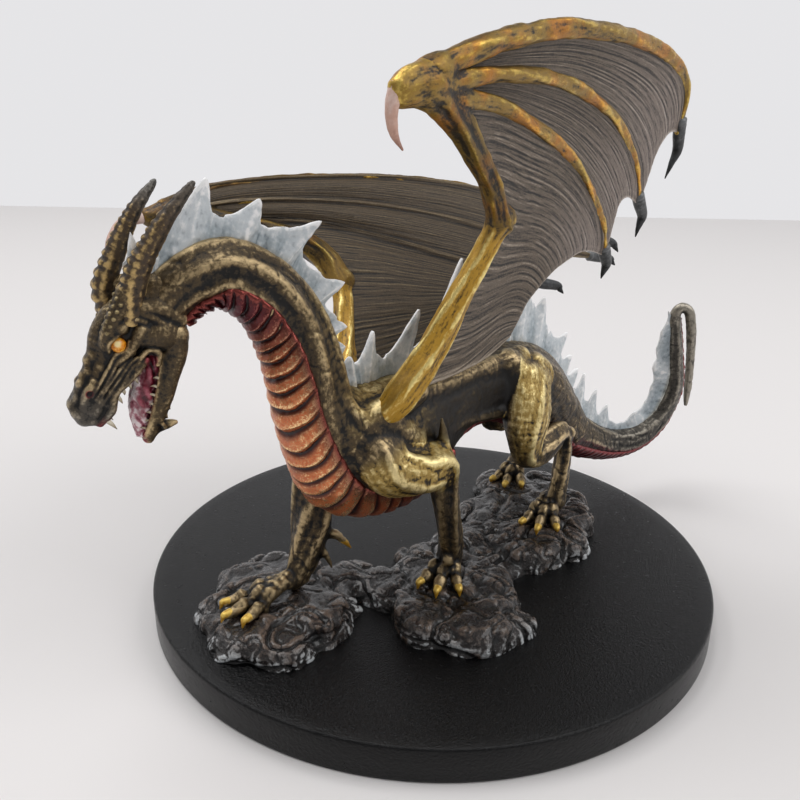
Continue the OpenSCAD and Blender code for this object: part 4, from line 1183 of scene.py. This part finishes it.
def crest(stations, thick, side, seed):
    """A fin through (foot, tip) pairs, stiffened by folds. Returns the shape and its marks."""
    s, foot, tip, near = fin_lines(stations, seed)
    up_share = np.linspace(0, 1, FIN_COLS + 1)[None, :]
    # Each line starts square to the body and sweeps back to its tip
    chord = tip - foot
    tall = np.linalg.norm(chord, axis=1)[:, None]
    drift = np.gradient(foot, axis=0)
    sweep = drift / np.maximum(np.linalg.norm(drift, axis=1, keepdims=True), 1e-6)
    bow = (chord * sweep).sum(1, keepdims=True) * sweep * 0.3
    c = up_share[..., None]
    rise = foot + unit(chord) * tall - foot
    centre = foot[:, None] + rise[:, None] * c - bow[:, None] * (c * (1 - c))
    # Folds that fan out from the foot, stiff at the points
    size = len(s) * (FIN_COLS + 1)
    up_fin = (tall * up_share * 0.12).ravel()
    fan = np.column_stack([np.repeat(s * 1.5, FIN_COLS + 1), up_fin, np.zeros(size)])
    ribs = fbm(fan, 0.8, 3, seed).reshape(len(s), -1)
    stiff = near[:, None]**1.5
    width = thick * (1 - 0.6 * up_share**0.8) * (0.62 + 0.5 * stiff + 0.4 * ribs)
    width = np.maximum(width, 0.3) * (1 - 0.4 * soft(up_share, 0.92, 1.0))
    sway = noise(fan * [0.5, 1, 1], 1.0, seed + 5).reshape(len(s), -1)
    wave = (0.35 * (stiff - 0.4) + 0.3 * sway) * up_share
    out = np.asarray(side, float)
    faces = [centre + out * (width / 2 + wave)[..., None], centre - out * (width / 2 - wave)[..., None]]
    shape = rough(slab(*faces), 0.9, 3, seed + 9, 0.11)
    every = 0 * up_share + 0 * tall
    along_fin = (s[:, None] * 1.6 + every).ravel()
    grain = np.column_stack([along_fin, up_fin, np.zeros(size)])
    hollow = (soft(near, 0.75, 0.2)[:, None] * soft(up_share, 1.0, 0.55)).ravel()
    root = (soft(up_share, 0.3, 0.02) + every).ravel() * 0.7
    return shape, {"flow": both_faces(grain), "hollow": np.tile(hollow, 2), "root": np.tile(root, 2)}


# Foot and tip of each line, from the head back
NECK_CREST = [
    [[-4.6, -37.6, 46.2], [-4.6, -38, 47.6]], [[-4.2, -36.8, 47.4], [-4.0, -37.4, 50.4]],
    [[-3.8, -35.8, 49], [-3.4, -36.2, 53.6]],
    [[-3, -33.6, 50.8], [-2.4, -31.4, 58]], [[-2.2, -31.8, 51.4], [-2, -31, 55]],
    [[-1.6, -30.2, 51.6], [-1.6, -29.8, 54.7]], [[-1.2, -28.8, 51.4], [-0.8, -26.4, 55.8]],
    [[-0.8, -27.4, 50.8], [-0.5, -26.2, 53.4]], [[-0.4, -25.8, 50], [0.1, -23.9, 53.2]],
    [[0, -24.8, 48.8], [0.9, -19.8, 53]], [[0.2, -23.8, 47.8], [0.6, -22, 51.2]],
    [[0.5, -23.2, 46.8], [0.8, -21.8, 49.4]], [[0.8, -22.4, 45.6], [1.2, -20.2, 48]],
    [[1, -21.8, 44.4], [1.6, -17.6, 46.2]], [[1.2, -21.2, 43.2], [1.6, -20, 44.4]],
    [[1.4, -20.8, 42.2], [1.8, -18.6, 43]], [[1.6, -20.4, 41.2], [2, -17.6, 41.4]],
    [[1.8, -20, 40.2], [2, -19.2, 40.6]], [[2, -19.6, 39.2], [2.2, -18, 39.4]],
    [[2.3, -19, 37.2], [2.4, -18.4, 37.6]]
]
# Stations in the middle plane: foot y, foot z, tip y, tip z
BACK_PROFILE = [
    [-18.4, 34.8, -18.6, 37.4], [-17, 34.4, -17.4, 37.8], [-16, 34, -16.4, 37.2],
    [-15, 33.8, -13.8, 40.2], [-13, 33.6, -13.2, 37.6], [-11.6, 33.4, -11.4, 37],
    [-9.6, 33.2, -6, 41.4], [-7.6, 33, -7, 37.4], [-5.4, 32.8, -5, 37.6], [-3.4, 32.8, 1.4, 46.4],
    [-0.6, 32.8, 0.4, 39.6], [2.4, 32.8, 3.2, 39.4], [4.6, 32.8, 8.4, 44], [7, 32.8, 7.6, 38.4],
    [10, 32.8, 10.6, 38], [12, 32.8, 12.4, 36.4]
]
HIP_PROFILE = [
    [12.6, 32.8, 12.6, 36], [14, 32.4, 14.6, 40.8], [16.2, 30.8, 17.6, 38.6], [17.6, 29.7, 19.6, 38],
    [19.2, 27.9, 21, 34.4], [20.4, 26.4, 22.6, 33.4], [21.6, 25, 25.6, 31.2], [22.6, 23.6, 25.2, 29.4],
    [23.8, 22, 27.2, 27.6], [24.8, 20.8, 27, 26], [26, 19, 29.4, 25.2], [27, 18, 28.8, 23]
]
TAIL_CREST = [
    [[MID_X, 28.2, 16.8], [2.7, 29.8, 22.6]], [[2.8, 30, 15.8], [2.8, 31.6, 24]],
    [[2.9, 31.6, 15], [3, 32.6, 20]], [[3, 33, 14.4], [3.1, 34.4, 21]],
    [[3.4, 35, 13.4], [3.5, 35.6, 17]], [[3.6, 36.4, 12.8], [3.8, 37.4, 17.6]],
    [[4, 38, 12.2], [4.2, 38.6, 15]], [[5.2, 41, 11.8], [5.2, 40.8, 14.4]],
    [[6.4, 43.6, 12.6], [6, 42.6, 15.2]], [[7.6, 46.6, 15.4], [7, 44.8, 17.4]],
    [[8.4, 48, 18.6], [7.4, 45.2, 20.2]], [[8.9, 47.8, 22], [7.9, 44.4, 23.4]],
    [[9.2, 47, 25], [8.4, 43.8, 26.8]], [[9.5, 45.8, 28.4], [8.9, 42.9, 30.2]],
    [[9.9, 44.4, 32], [9.7, 43.4, 33.6]]
]
HEAD_FIN = [
    [[-5.6, -38.6, 45.6], [-5.7, -39.8, 48]], [[-5.2, -38.4, 46.4], [-5.1, -39.6, 51]],
    [[-4.8, -37.8, 47.2], [-4.6, -38.6, 53.2]], [[-4.6, -37.2, 47.6], [-4.4, -37.4, 50.8]],
    [[-4.3, -36.6, 48], [-3.7, -36.2, 55]], [[-4, -36, 48], [-3.8, -35.8, 51.5]]
]


def in_middle(profile):
    """(foot, tip) pairs in the dragon's middle plane."""
    return [[[MID_X, a, b], [MID_X, c, d]] for a, b, c, d in profile]


def make_crests(material):
    for name, stations, thick, side, seed, nodes in (
            ("neck_fin", NECK_CREST, 1.3, SIDEWAYS, 51, ["neck_crest"]),
            ("back_fin", in_middle(BACK_PROFILE), 1.3, SIDEWAYS, 61, ["back_crest"]),
            ("hip_fin", in_middle(HIP_PROFILE), 1.1, SIDEWAYS, 71, ["hip_crest"]),
            ("tail_fin", TAIL_CREST, 0.9, SIDEWAYS, 81, ["tail_crest_root", "tail_crest_rise"]),
            ("head_fin", HEAD_FIN, 0.9, HEAD_L, 91, ["head_frills"])):
        shape, marks = crest(stations, thick, side, seed)
        piece(name, shape, material, nodes, marks, fine=5, coarse=16)


# ---- wings

# out is the outer side of the skin. edges are the skin's rays with no finger bone: elbow and body.
# finger, sleeve, wrist and claws are sizes, and drop bends the claws down.
WING_LEFT = {
    "out": unit([1, 0.09, -0.22]),
    "humerus": [[7.6, -16.2, 32.5, 1.5, 1.6], [8.4, -14.8, 34.6, 1.75, 1.8], [9.4, -11.6, 38.9, 1.5, 1.6],
                [10.3, -8.8, 43.6, 1.3, 1.4], [11.4, -6, 48.6, 1.15, 1.25], [12.4, -4, 52.8, 1.25, 1.5]],
    "forearm": [[12.4, -4, 52.8, 1.25, 1.5], [13.5, -7.2, 57, 1.05, 1.2], [14.8, -12.2, 61.4, 1.05, 1.2],
                [16, -17, 64.8, 1.25, 1.6], [17, -21.6, 67, 1.2, 1.8], [17.5, -25, 66.4, 0.75, 1.1]],
    "fingers": [
        [[17, -21, 67.8], [17.2, -16.1, 69.6], [16.7, -8.1, 71.2], [16, 2.2, 72.4], [14.9, 14.9, 72],
         [13.3, 28.4, 70], [11.5, 36.6, 66.4], [10.2, 38.4, 60.6]],
        [[17, -20, 66.6], [16.4, -12, 67.8], [15.6, -2, 67.6], [14, 8.4, 66], [12.2, 19, 62.2],
         [10.2, 27.6, 56.6], [8.8, 32, 51]],
        [[16.8, -19, 65.8], [15.6, -10, 65.2], [14.2, -1, 62.6], [12.4, 8.6, 59], [10.7, 16.6, 53.9],
         [9, 22.8, 48.8], [7.8, 25.8, 44.4]]],
    "edges": [[[12.4, -4, 52.8], [11.4, 1, 50.6], [10.4, 5.6, 48], [9.4, 10.4, 44.6]],
              [[8.6, -12.4, 34.8], [8, -5.6, 34.6], [7.6, 0.6, 35.2], [7.6, 5.4, 37]]],
    "thumb": [[17.4, -25, 67, 0.85, 0.85], [17.2, -25.6, 65, 0.6, 0.6], [16.7, -24.8, 63, 0.4, 0.4],
              [16, -23, 61.5, 0.1, 0.1]],
    "drop": 1.5, "finger": 1.0, "sleeve": 0.12, "wrist": 1.0, "claws": (1.0, 0.9, 0.62),
}
WING_RIGHT = {
    "out": unit([-0.65, 0.07, -0.75]),
    "humerus": [[-2.6, -14, 31, 1.5, 1.6], [-5, -11.6, 32.2, 1.7, 1.7], [-8, -8.6, 35.8, 1.35, 1.45],
                [-11, -6, 39.6, 1.15, 1.25], [-12.8, -5, 41.8, 1.2, 1.4]],
    "forearm": [[-12.8, -5, 41.8, 1.5, 1.7], [-15.7, -5.2, 44.8, 1.5, 1.7], [-18.4, -8.4, 47.4, 1.3, 1.4],
                [-21, -15, 49.8, 1.05, 1.15], [-23.2, -22.4, 51.6, 1.2, 1.6], [-23.8, -26, 51.4, 0.95, 1.2]],
    "fingers": [
        [[-23.6, -23.6, 52.6], [-24.7, -16.3, 53.8], [-24.1, -7, 54.2], [-22.4, 5, 53.9], [-20.2, 16, 53],
         [-17.1, 28.5, 50.8], [-12.8, 40, 47], [-7.2, 49.4, 41.8]],
        [[-23, -22, 51.6], [-22.6, -14, 52], [-21.4, -4, 51.4], [-19, 7.4, 50], [-15.6, 19, 47.4],
         [-10.8, 32, 43.4], [-5.6, 46, 39.4]],
        [[-22.6, -21, 50.8], [-21.4, -13, 50], [-19.4, -4, 48.6], [-16, 6, 45.8], [-12.2, 14.6, 42.8],
         [-8.4, 23, 39.8], [-5.4, 30.4, 37.4]]],
    "edges": [[[-12.8, -5, 41.8], [-10.6, 2, 40.4], [-8.2, 9, 38.6], [-6, 16, 36.8]],
              [[-4, -11, 32.4], [-3.6, -4, 33], [-3.2, 3, 33.6], [-3, 8, 34.6]]],
    "thumb": [[-23.8, -26.8, 51.5, 0.8, 0.8], [-23.9, -29.4, 51, 0.55, 0.55], [-23, -31.4, 49.8, 0.35, 0.35],
              [-22, -32.7, 48.6, 0.1, 0.1]],
    "drop": 0.8, "finger": 0.7, "sleeve": 0.75, "wrist": 0.7, "claws": (0.7, 0.75, 0.8),
}
# Depth of the bay in the skin's free edge after each ray, as a share of the ray
SCALLOPS = [0.1, 0.14, 0.1, 0.08]
# Number of the first ray that has no finger bone under it
FIRST_BARE = 3


def rolling(rows, reach):
    """Mean over the neighbouring rows."""
    padded = np.concatenate([np.repeat(rows[:1], reach, 0), rows, np.repeat(rows[-1:], reach, 0)])
    return sum(padded[k:k + len(rows)] for k in range(2 * reach + 1)) / (2 * reach + 1)


def at_share(ray, share):
    """Points at those shares of a closely sampled ray."""
    last = len(ray) - 1
    j = np.minimum((share * last).astype(int), last - 1)
    w = (share * last - j)[:, None]
    return ray[j] * (1 - w) + ray[j + 1] * w


def skin_rows(rays, rows_each, t):
    """Rows of points across the skin, with their nearness to a finger bone and their lengths."""
    dense = [along(r, 400) for r in rays]
    span = [np.linalg.norm(np.diff(d, axis=0), axis=1).sum() for d in dense]
    rows, sleeve, lengths = [], [], []
    for r in range((len(rays) - 1) * rows_each + 1):
        s = r / rows_each
        i = min(int(s), len(rays) - 2)
        f = s - i
        reach = t * (1 - SCALLOPS[i] * math.sin(math.pi * f))
        rows.append(at_share(dense[i], reach) * (1 - f) + at_share(dense[i + 1], reach) * f)
        gap = abs(s - round(s))
        sleeve.append(math.exp(-(gap / 0.07)**2) if round(s) < FIRST_BARE else 0.0)
        lengths.append(span[i] * (1 - f) + span[i + 1] * f)
    return np.array(rows), np.array(sleeve)[:, None], np.array(lengths)[:, None]


def hang_skin(wing, centre, rows_each, t):
    """Starts the skin between the last finger and the elbow on the forearm, and rounds it off
    where a ray has no finger bone."""
    f = np.linspace(0, 1, rows_each + 1)[:, None]
    arm = along(wing["forearm"], 100)[:, :3]
    last_panel = slice((FIRST_BARE - 1) * rows_each, FIRST_BARE * rows_each + 1)
    bow = arm[np.round(70 * (1 - f[:, 0])).astype(int)] - centre[last_panel, 0]
    bow -= (1 - f) * bow[0] + f * bow[-1]
    centre[last_panel] += bow[:, None] * ((1 - t)**3)[:, None]
    panels = len(centre) // rows_each
    s = np.linspace(0, panels, len(centre))
    for k in range(FIRST_BARE, panels):
        near = (soft(np.abs(s - k), 0.6, 0.2)[:, None] * soft(t, 0.12, 0.4))[..., None]
        centre = centre * (1 - near) + rolling(centre, rows_each // 3) * near
    return centre


def wing_skin(wing, rows_each, cols):
    """The skin as a thin sheet with sleeves over the finger bones and fine folds along the rays."""
    rays = wing["fingers"] + wing["edges"]
    panels = len(rays) - 1
    t = np.linspace(0, 1, cols + 1)
    centre, sleeve, lengths = skin_rows(rays, rows_each, t)
    centre = hang_skin(wing, centre, rows_each, t)
    s = np.linspace(0, panels, len(centre))[:, None] + 0 * t[None, :]
    tt = t[None, :] + 0 * s
    n = unit(np.cross(np.gradient(centre, axis=0), np.gradient(centre, axis=1)))
    n *= np.sign((n * wing["out"]).sum(-1, keepdims=True) + 1e-9)
    # The skin sags inwards between the fingers, and in one bay from the last finger to the body
    last = FIRST_BARE - 1
    bay = np.where(s < last, s % 1.0, (s - last) / (panels - last))
    centre = centre - n * (0.9 * np.sin(math.pi * bay) * np.sin(math.pi * tt**0.8))[..., None]
    # Paint and folds follow the rays
    steps = np.linalg.norm(np.diff(centre, axis=0), axis=2)
    around = np.vstack([np.zeros(cols + 1), np.cumsum(steps, axis=0)])
    fan = 0.12 * around + 0.78 * around.max() * s / panels
    ahead = tt * lengths
    grain = np.column_stack([fan.ravel(), ahead.ravel() * 0.04, 0 * ahead.ravel()])
    warped = grain + np.column_stack([0.15 * fbm(grain, 4, 2, 101), 0 * grain[:, 1:]])
    thread = fbm(warped, 0.3, 2, 111).reshape(s.shape)
    fold = fbm(warped, 2.6, 2, 121).reshape(s.shape)
    thick = 0.24 + 0.06 * (1 - tt) + wing["sleeve"] * sleeve * (1 - 0.5 * tt)
    lift = thick * (1 - 0.5 * soft(tt, 0.96, 1.0))
    outer = lift + (0.05 * thread + 0.1 * fold)
    inner = lift - 0.08 * fold + 0.06 * thread
    shape = slab(centre + n * outer[..., None], centre - n * inner[..., None])
    warm = soft(np.abs(s - np.round(s)), 0.12, 0.03) * (np.round(s) < FIRST_BARE) * 0.6
    # Painted highlight: a pale sheen towards the trailing edge of the panels between the fingers
    pale = soft(tt, 0.5, 1.0) * soft(s, 3.2, 2.2)
    return shape, {"flow": both_faces(grain), "warm": np.tile(warm.ravel(), 2),
                   "pale": np.tile(pale.ravel(), 2)}


def wing_bones(wing):
    """Upper arm, forearm, wrist and fingers as one lumpy cast bone, with what its paint needs."""
    every = np.vstack([np.array(wing["humerus"])[:, :3], np.array(wing["forearm"])[:, :3]]
                      + [np.array(f) for f in wing["fingers"]])
    clay = Clay(every.min(0) - 3.2, every.max(0) + 3.2, FINE)
    out = wing["out"]
    limbs = [(wing["humerus"], out), (wing["forearm"], out)]
    clay.add(wing["humerus"], 0.5, out, 40)
    clay.add(wing["forearm"], 0.7, out, 40)
    for stations, _ in limbs[:2]:
        for chain in strands(stations, 5, 0.36, 0.25, out):
            clay.add(chain, 0.25, out, 30)
    x, y, z = wing["forearm"][0][:3]
    clay.ball(x, y + 0.6, z + 0.3, 1.45, 0.6)
    x, y, z = wing["forearm"][-2][:3]
    for dy, dz, r in ((0, -0.2, 1.35), (-2.4, -0.5, 1.05), (1.6, 1.1, 1.3)):
        clay.ball(x, y + dy, z + dz, r * wing["wrist"], 1.6)
    for k, finger in enumerate(wing["fingers"]):
        # The first finger is the stoutest, and each thins to half at its tip
        size, tall = (1.0, 1.2) if k == 0 else (0.85, 1.0)
        thick = wing["finger"] * (1 - 0.5 * np.linspace(0, 1, len(finger))) * size
        run = [[*p, t, t * tall] for p, t in zip(finger, thick)]
        limbs.append((run, out))
        clay.add(run, 0.6, out, 80)
        for chain in strands(run, 3, 0.45, 1.2, out, reach=0.7):
            clay.add(chain, 0.3, out, 60)
    points, quads = clay.mesh()
    grain, share, which = flow(points, limbs, 0.25)
    n = normals(points, quads)
    lumps = fbm(points, 2.2, 2, 131) * 0.14 + fbm(grain, 0.6, 3, 132) * 0.13
    side = 1 - np.abs(n @ out)
    return (points + n * lumps[:, None], quads), grain, share, which, side


def make_membrane(wing, name, skin):
    rows_each, cols = ((96, 300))
    shape, marks = wing_skin(wing, rows_each, cols)
    if name == "right":
        marks["warm"] = np.maximum(marks["warm"], 0.8)
        # No painted highlight on the far wing
        marks["pale"] = 0 * marks["pale"]
    piece("wing_membrane_" + name, shape, skin, ["wing_skin_" + name], marks,
          fine=4, coarse=20)


def make_bones(wing, name, bones):
    """The bones are brightest on the left upper arm, and darkest on the right wing's fingers."""
    shape, grain, share, which, side = wing_bones(wing)
    upper_arm, forearm, fingers = which == 0, which == 1, which > 1
    bright = upper_arm * soft(share, 1.0, 0.86) + 0.05 * forearm * soft(share, 0.75, 0.95)
    finger_shade = 0.85 if name == "right" else 0.75 * soft(side, 0.4, 0.85)
    shaded = forearm * soft(share, 0.8, 0.5) * 0.6 + fingers * finger_shade
    shaded = shaded + upper_arm * 0.5 * soft(side, 0.65, 1.0)
    if name == "right":
        shaded = np.maximum(shaded, forearm * soft(share, 0.1, 0.4) * 0.8)
        bright = bright * upper_arm + forearm * soft(share, 0.3, 0.1)
    nodes = ["wing_humerus_" + name, "wing_forearm_" + name, "wing_fingers_" + name]
    piece("wing_bones_" + name, shape, bones, nodes,
          {"bright": np.clip(bright, 0, 1), "shaded": np.clip(shaded, 0, 1), "flow": grain})


def make_wing_claws(wing, name, slate, peach):
    """A claw at the tip of each finger, and the thumb's claw at the wrist."""
    parts = []
    for finger, size in zip(wing["fingers"], wing["claws"]):
        before, tip = np.array(finger[-2:])
        go = unit(tip - before)
        back = np.array([0, -1.6, -0.4 * wing["drop"]]) * size
        parts.append(claw(tip - go * 1.8, tip + go * 3.1 * size - back * 0.45, tip + go * 6.4 * size + back,
                          0.9, wing["out"]))
    piece("wing_tip_claws_" + name, merge(parts), slate, ["wing_claws_" + name])
    thumb = rough(tube(wing["thumb"], 60, 24, wing["out"]), 0.7, 2, 137, 0.05)
    piece("thumb_claw_horn_" + name, thumb, peach, ["thumb_claw_" + name])


# ---- rocks and disc

DISC_R = 38.0
DISC_T = 4.4
DISC_SIDES = 256
ROCK_H = 3.6  # above the disc
# Lobes of the rock: x, y, radius and share of its height
BOULDERS = [
    (-7, -29.5, 4, 0.7), (-2, -31, 4.2, 0.8), (2.5, -28.5, 4.3, 0.9), (-5, -24, 5, 1), (-10, -24, 4.5, 0.8),
    (1.5, -22.5, 4.5, 1), (-11.5, -19.5, 4, 0.6), (-6, -18.5, 4.5, 0.8), (-0.5, -19, 3.5, 0.7),
    (3, -11.5, 4, 0.6), (-2, -13, 4, 0.6), (4, -6, 4.5, 0.7), (1, -2, 3.5, 0.6), (12.3, -13.5, 3.8, 0.9),
    (9, -11.5, 4.2, 0.8), (17, -10.5, 4.2, 0.9), (18, -7.2, 3.8, 0.7), (9, -7, 5, 1), (14, -5, 4.5, 1),
    (11, -1.5, 4, 0.8), (5.5, 3, 4.5, 0.7), (9, 3.5, 3.5, 0.6), (1.5, 4, 4, 0.6), (4, 9, 5, 0.8),
    (10, 9.5, 5, 0.9), (11.3, 14.5, 4.8, 0.9), (8.5, 20, 4.8, 1), (4, 15, 5, 1), (5, 24.5, 4.3, 0.8),
    (-1, 13, 4.5, 0.8), (-1, 20, 5, 1), (0, 26.5, 4.3, 0.8), (-5, 22, 4.5, 0.8)
]


def ridged(p, size, seed):
    """Sharp crests near 1, broad hollows near 0."""
    return (1 - np.abs(noise(p, size, seed)) * 2.2).clip(0, 1)


def make_rocks(material):
    clay = Clay((-19, -38, DISC_T - 0.6), (25, 34, DISC_T + 5), ROCK_FINE)
    for x, y, r, h in BOULDERS:
        clay.mound(x, y, DISC_T - 0.3, r, ROCK_H * h * 0.95, 1.3)
    # Ledges, and cracks between the lobes
    for k in range(60):
        x, y, r, h = BOULDERS[k % len(BOULDERS)]
        a = 2.4 * k
        wide = 1.5 + 0.6 * math.sin(1.7 * k)
        tall = ROCK_H * h * (0.75 + 0.2 * math.sin(2.9 * k))
        clay.mound(x + 0.75 * r * math.cos(a), y + 0.75 * r * math.sin(a), DISC_T - 0.3, wide, tall, 0.4, 0.7)
    points, quads = clay.mesh()
    n = normals(points, quads)
    warp = points + 1.1 * np.stack([noise(points, 3.5, s) for s in (141, 142, 143)], 1)
    crag = fbm(warp, 3.4, 2, 144) * 0.5 - ridged(warp, 3.2, 145)**3 * 0.6
    fine = -ridged(warp, 1.6, 146)**3 * 0.2 - ridged(warp, 0.8, 147)**2 * 0.08
    points = points + n * (crag + fine + 0.15)[:, None]
    points[:, 2] = np.clip(points[:, 2], DISC_T - 0.05, DISC_T + ROCK_H + 0.05)
    edge = soft(points[:, 2], DISC_T + 2.6, DISC_T + 0.5)
    piece("sculpted_rock", (points, quads), material, ["rock_base"], {"edge": edge},
          fine=5, coarse=20)


def rock_paint():
    p = Paint("rock_stone")
    p.wear_and_light(relief=0.8, form=0.3, sky=0.0, brush=0.1, brush_size=0.8, grit=0.9, grit_size=0.45)
    brown = p.layers("#020101", "#1a110d", "#66564a", (-0.5, 0.1), (0.2, 1.3))
    pale = p.layers("#020202", "#221d1b", "#d6dadc", (-0.5, 0.05), (0.3, 1.0))
    patch = p.ramp(p.speckle(5, 3), 0.4, 0.54)
    colour = p.mix(p.maths("MULTIPLY", patch, p.mark("edge")), brown, pale)
    p.bsdf.inputs["Coat Weight"].default_value = 0.6
    p.bsdf.inputs["Coat Roughness"].default_value = 0.1
    return p.finish(colour, rough=(0.3, 0.16), bump=1.0, bump_size=0.45, depth=0.22, gloss=0.35)


def make_disc(material):
    """A turned disc over a bevelled profile of (radius, z)."""
    bevel = 0.35
    profile = [(0.01, 0), (DISC_R - bevel, 0), (DISC_R - 0.1, 0.1), (DISC_R, bevel), (DISC_R, DISC_T - bevel),
               (DISC_R - 0.1, DISC_T - 0.1), (DISC_R - bevel, DISC_T), (0.01, DISC_T)]
    rows = []
    for (r0, z0), (r1, z1) in zip(profile, profile[1:]):
        steps = max(1, int(abs(r1 - r0) / 1.5))
        rows += [(r0 + (r1 - r0) * k / steps, z0 + (z1 - z0) * k / steps) for k in range(steps)]
    rows.append(profile[-1])
    a = np.linspace(0, 2 * math.pi, DISC_SIDES, endpoint=False)
    rings = np.array([[(r * math.cos(t), r * math.sin(t), z) for t in a] for r, z in rows])
    shape = closed_rings(rings, [[0, 0, 0], [0, 0, DISC_T]])
    piece("round_display_disc", shape, material, ["display_disc"])


def disc_paint():
    p = Paint("black_disc")
    p.wear_and_light(relief=0, form=0, sky=0, brush=0, grit=0.8, grit_size=0.8)
    colour = p.layers("#020203", "#040405", "#09090b")
    return p.finish(colour, rough=(0.22, 0.3), bump=0.8, bump_size=0.4, depth=0.12, gloss=0.26)


# ---- stage

WALL_LIGHT = 0.8
ROOM_LIGHT = 0.32
VIEW_TURN = math.radians(41.3)  # from the dragon's frame to the photographer's
# Name, place in metres seen from the camera (right, away, up), size and power
LIGHTS = (("window", (-0.25, 0.08, 0.65), 0.45, 2.6), ("room", (0.5, -0.1, 0.55), 0.5, 2.3))
# The table in metres: half its width, how far its rounded back edge lies, and that edge's radius
TABLE_HALF = 1.6
TABLE_BACK = 0.345
TABLE_ROUND = 0.02


def turned(right, away, up):
    """From the photographer's frame to the dragon's."""
    x = right * math.cos(VIEW_TURN) - away * math.sin(VIEW_TURN)
    y = right * math.sin(VIEW_TURN) + away * math.cos(VIEW_TURN)
    return x, y, up


def table_paint():
    material = bpy.data.materials.new("pale_table")
    material.use_nodes = True
    bsdf = material.node_tree.nodes["Principled BSDF"]
    bsdf.inputs["Base Color"].default_value = linear("#e6e3e2")
    bsdf.inputs["Roughness"].default_value = 0.65
    return material


def studio_world():
    """A pale wall in front of the photographer, a dimmer ceiling and a dimmer room behind."""
    world = bpy.data.worlds.new("studio")
    w = Nodes(world)
    place = w.node("ShaderNodeTexCoord").outputs["Generated"]

    def fade(direction, low, high):
        """From 0 to 1 as the view turns towards a direction."""
        dot = w.node("ShaderNodeVectorMath", operation="DOT_PRODUCT")
        dot.inputs[1].default_value = direction
        w.link(place, dot.inputs[0])
        return w.ramp(dot.outputs["Value"], low, high)

    wall = w.maths("MULTIPLY", fade((0, 0, 1), 0.62, 0.28), fade(turned(0, 1, 0), -0.2, 0.4))
    light = w.ramp(wall, 0.0, 1.0, ROOM_LIGHT, WALL_LIGHT, "LINEAR")
    background = w.tree.nodes["Background"]
    background.inputs["Color"].default_value = (0.985, 0.98, 1.0, 1)
    w.link(light, background.inputs["Strength"])
    return world


def make_stage():
    """A pale table whose rounded back edge lies behind the disc, and soft lights overhead."""
    edge = [(TABLE_BACK + TABLE_ROUND * math.sin(a), TABLE_ROUND * (math.cos(a) - 1))
            for a in np.linspace(0, math.pi / 2, 12)]
    profile = [(-TABLE_HALF, 0), (0, 0)] + edge + [(TABLE_BACK + TABLE_ROUND, -0.5)]
    verts = [turned(x, y, z) for y, z in profile for x in (-TABLE_HALF, TABLE_HALF)]
    faces = [(2 * i, 2 * i + 1, 2 * i + 3, 2 * i + 2) for i in range(len(profile) - 1)]
    mesh = bpy.data.meshes.new("table_top")
    mesh.from_pydata(verts, [], faces)
    floor = placed("table_top", mesh)
    mesh.materials.append(table_paint())
    bpy.context.scene.world = studio_world()
    bpy.context.scene.view_settings.view_transform = "Standard"
    for name, place, size, power in LIGHTS:
        lamp = bpy.data.lights.new(name, "AREA")
        lamp.size = size
        lamp.energy = power
        obj = placed(name, lamp)
        obj.location = turned(*place)
        obj.rotation_euler = (obj.location - Vector((0, 0, 0.03))).to_track_quat("Z", "Y").to_euler()


# The photographer's camera: degrees, mm, and place seen along VIEW_TURN (right, away, up) in mm
CAMERA_YAW, CAMERA_PITCH, CAMERA_ROLL = -3.0, 20.79, 0.61
CAMERA_AT = (0.942, -106.05, 67.73)
SENSOR = 36
LENS = 38.6


def make_camera():
    """Camera where the photographer stood."""
    yaw, pitch, roll = (math.radians(v) for v in (CAMERA_YAW, CAMERA_PITCH, CAMERA_ROLL))
    forward = Vector((math.sin(yaw) * math.cos(pitch), math.cos(yaw) * math.cos(pitch), -math.sin(pitch)))
    level = Vector((math.cos(yaw), -math.sin(yaw), 0))
    up = level.cross(forward)
    right = level * math.cos(roll) + up * math.sin(roll)
    above = up * math.cos(roll) - level * math.sin(roll)
    spin = Matrix.Rotation(VIEW_TURN, 3, "Z")
    camera = bpy.data.cameras.new("photo_camera")
    camera.sensor_width = SENSOR
    camera.lens = LENS
    camera.clip_start = 0.005
    obj = placed("photo_camera", camera)
    matrix = Matrix((spin @ right, spin @ above, spin @ -forward)).transposed().to_4x4()
    matrix.translation = spin @ (Vector(CAMERA_AT) * MM)
    obj.matrix_world = matrix
    bpy.context.scene.camera = obj


# ---- the whole miniature

bronze = bronze_paint()
copper = copper_paint()
crimson = paint("plate_crimson", "#160406", "#4e0f16", "#8e3f40", metal=(0.0, 0.35), rough=(0.5, 0.38))
ivory = paint("tooth_ivory", "#6a5a48", "#b5a88e", "#e4dcc8")
claw_gold = paint("claw_gold", "#5a3d08", "#bb8a1c", "#f0cc66", low=(-1, -0.3), high=(-0.2, 0.7),
                  metal=(0.1, 0.4))
slate = paint("claw_slate", "#101112", "#2f3133", "#6d6f70", wear_and_light={"sky": 0, "grit_size": 0.6},
              rough=(0.5, 0.35))
peach = paint("claw_peach", "#a97f70", "#cda492", "#e8cfc4", wear_and_light={"grit_size": 1.2})

make_disc(disc_paint())
make_rocks(rock_paint())
make_body(bronze)
make_plates(copper, crimson)
make_skull(bronze)
make_jaw(bronze)
make_tongue(flesh_paint())
make_teeth(ivory)
make_eyes(eye_paint())
make_horns(horn_paint())
make_crests(frost_paint())
make_claws(claw_gold)
gold_bones = gold_bone_paint()
wing_leather = membrane_paint()
for a_wing, a_name in ((WING_LEFT, "left"), (WING_RIGHT, "right")):
    make_membrane(a_wing, a_name, wing_leather)
    make_bones(a_wing, a_name, gold_bones)
    make_wing_claws(a_wing, a_name, slate, peach)
make_stage()
make_camera()
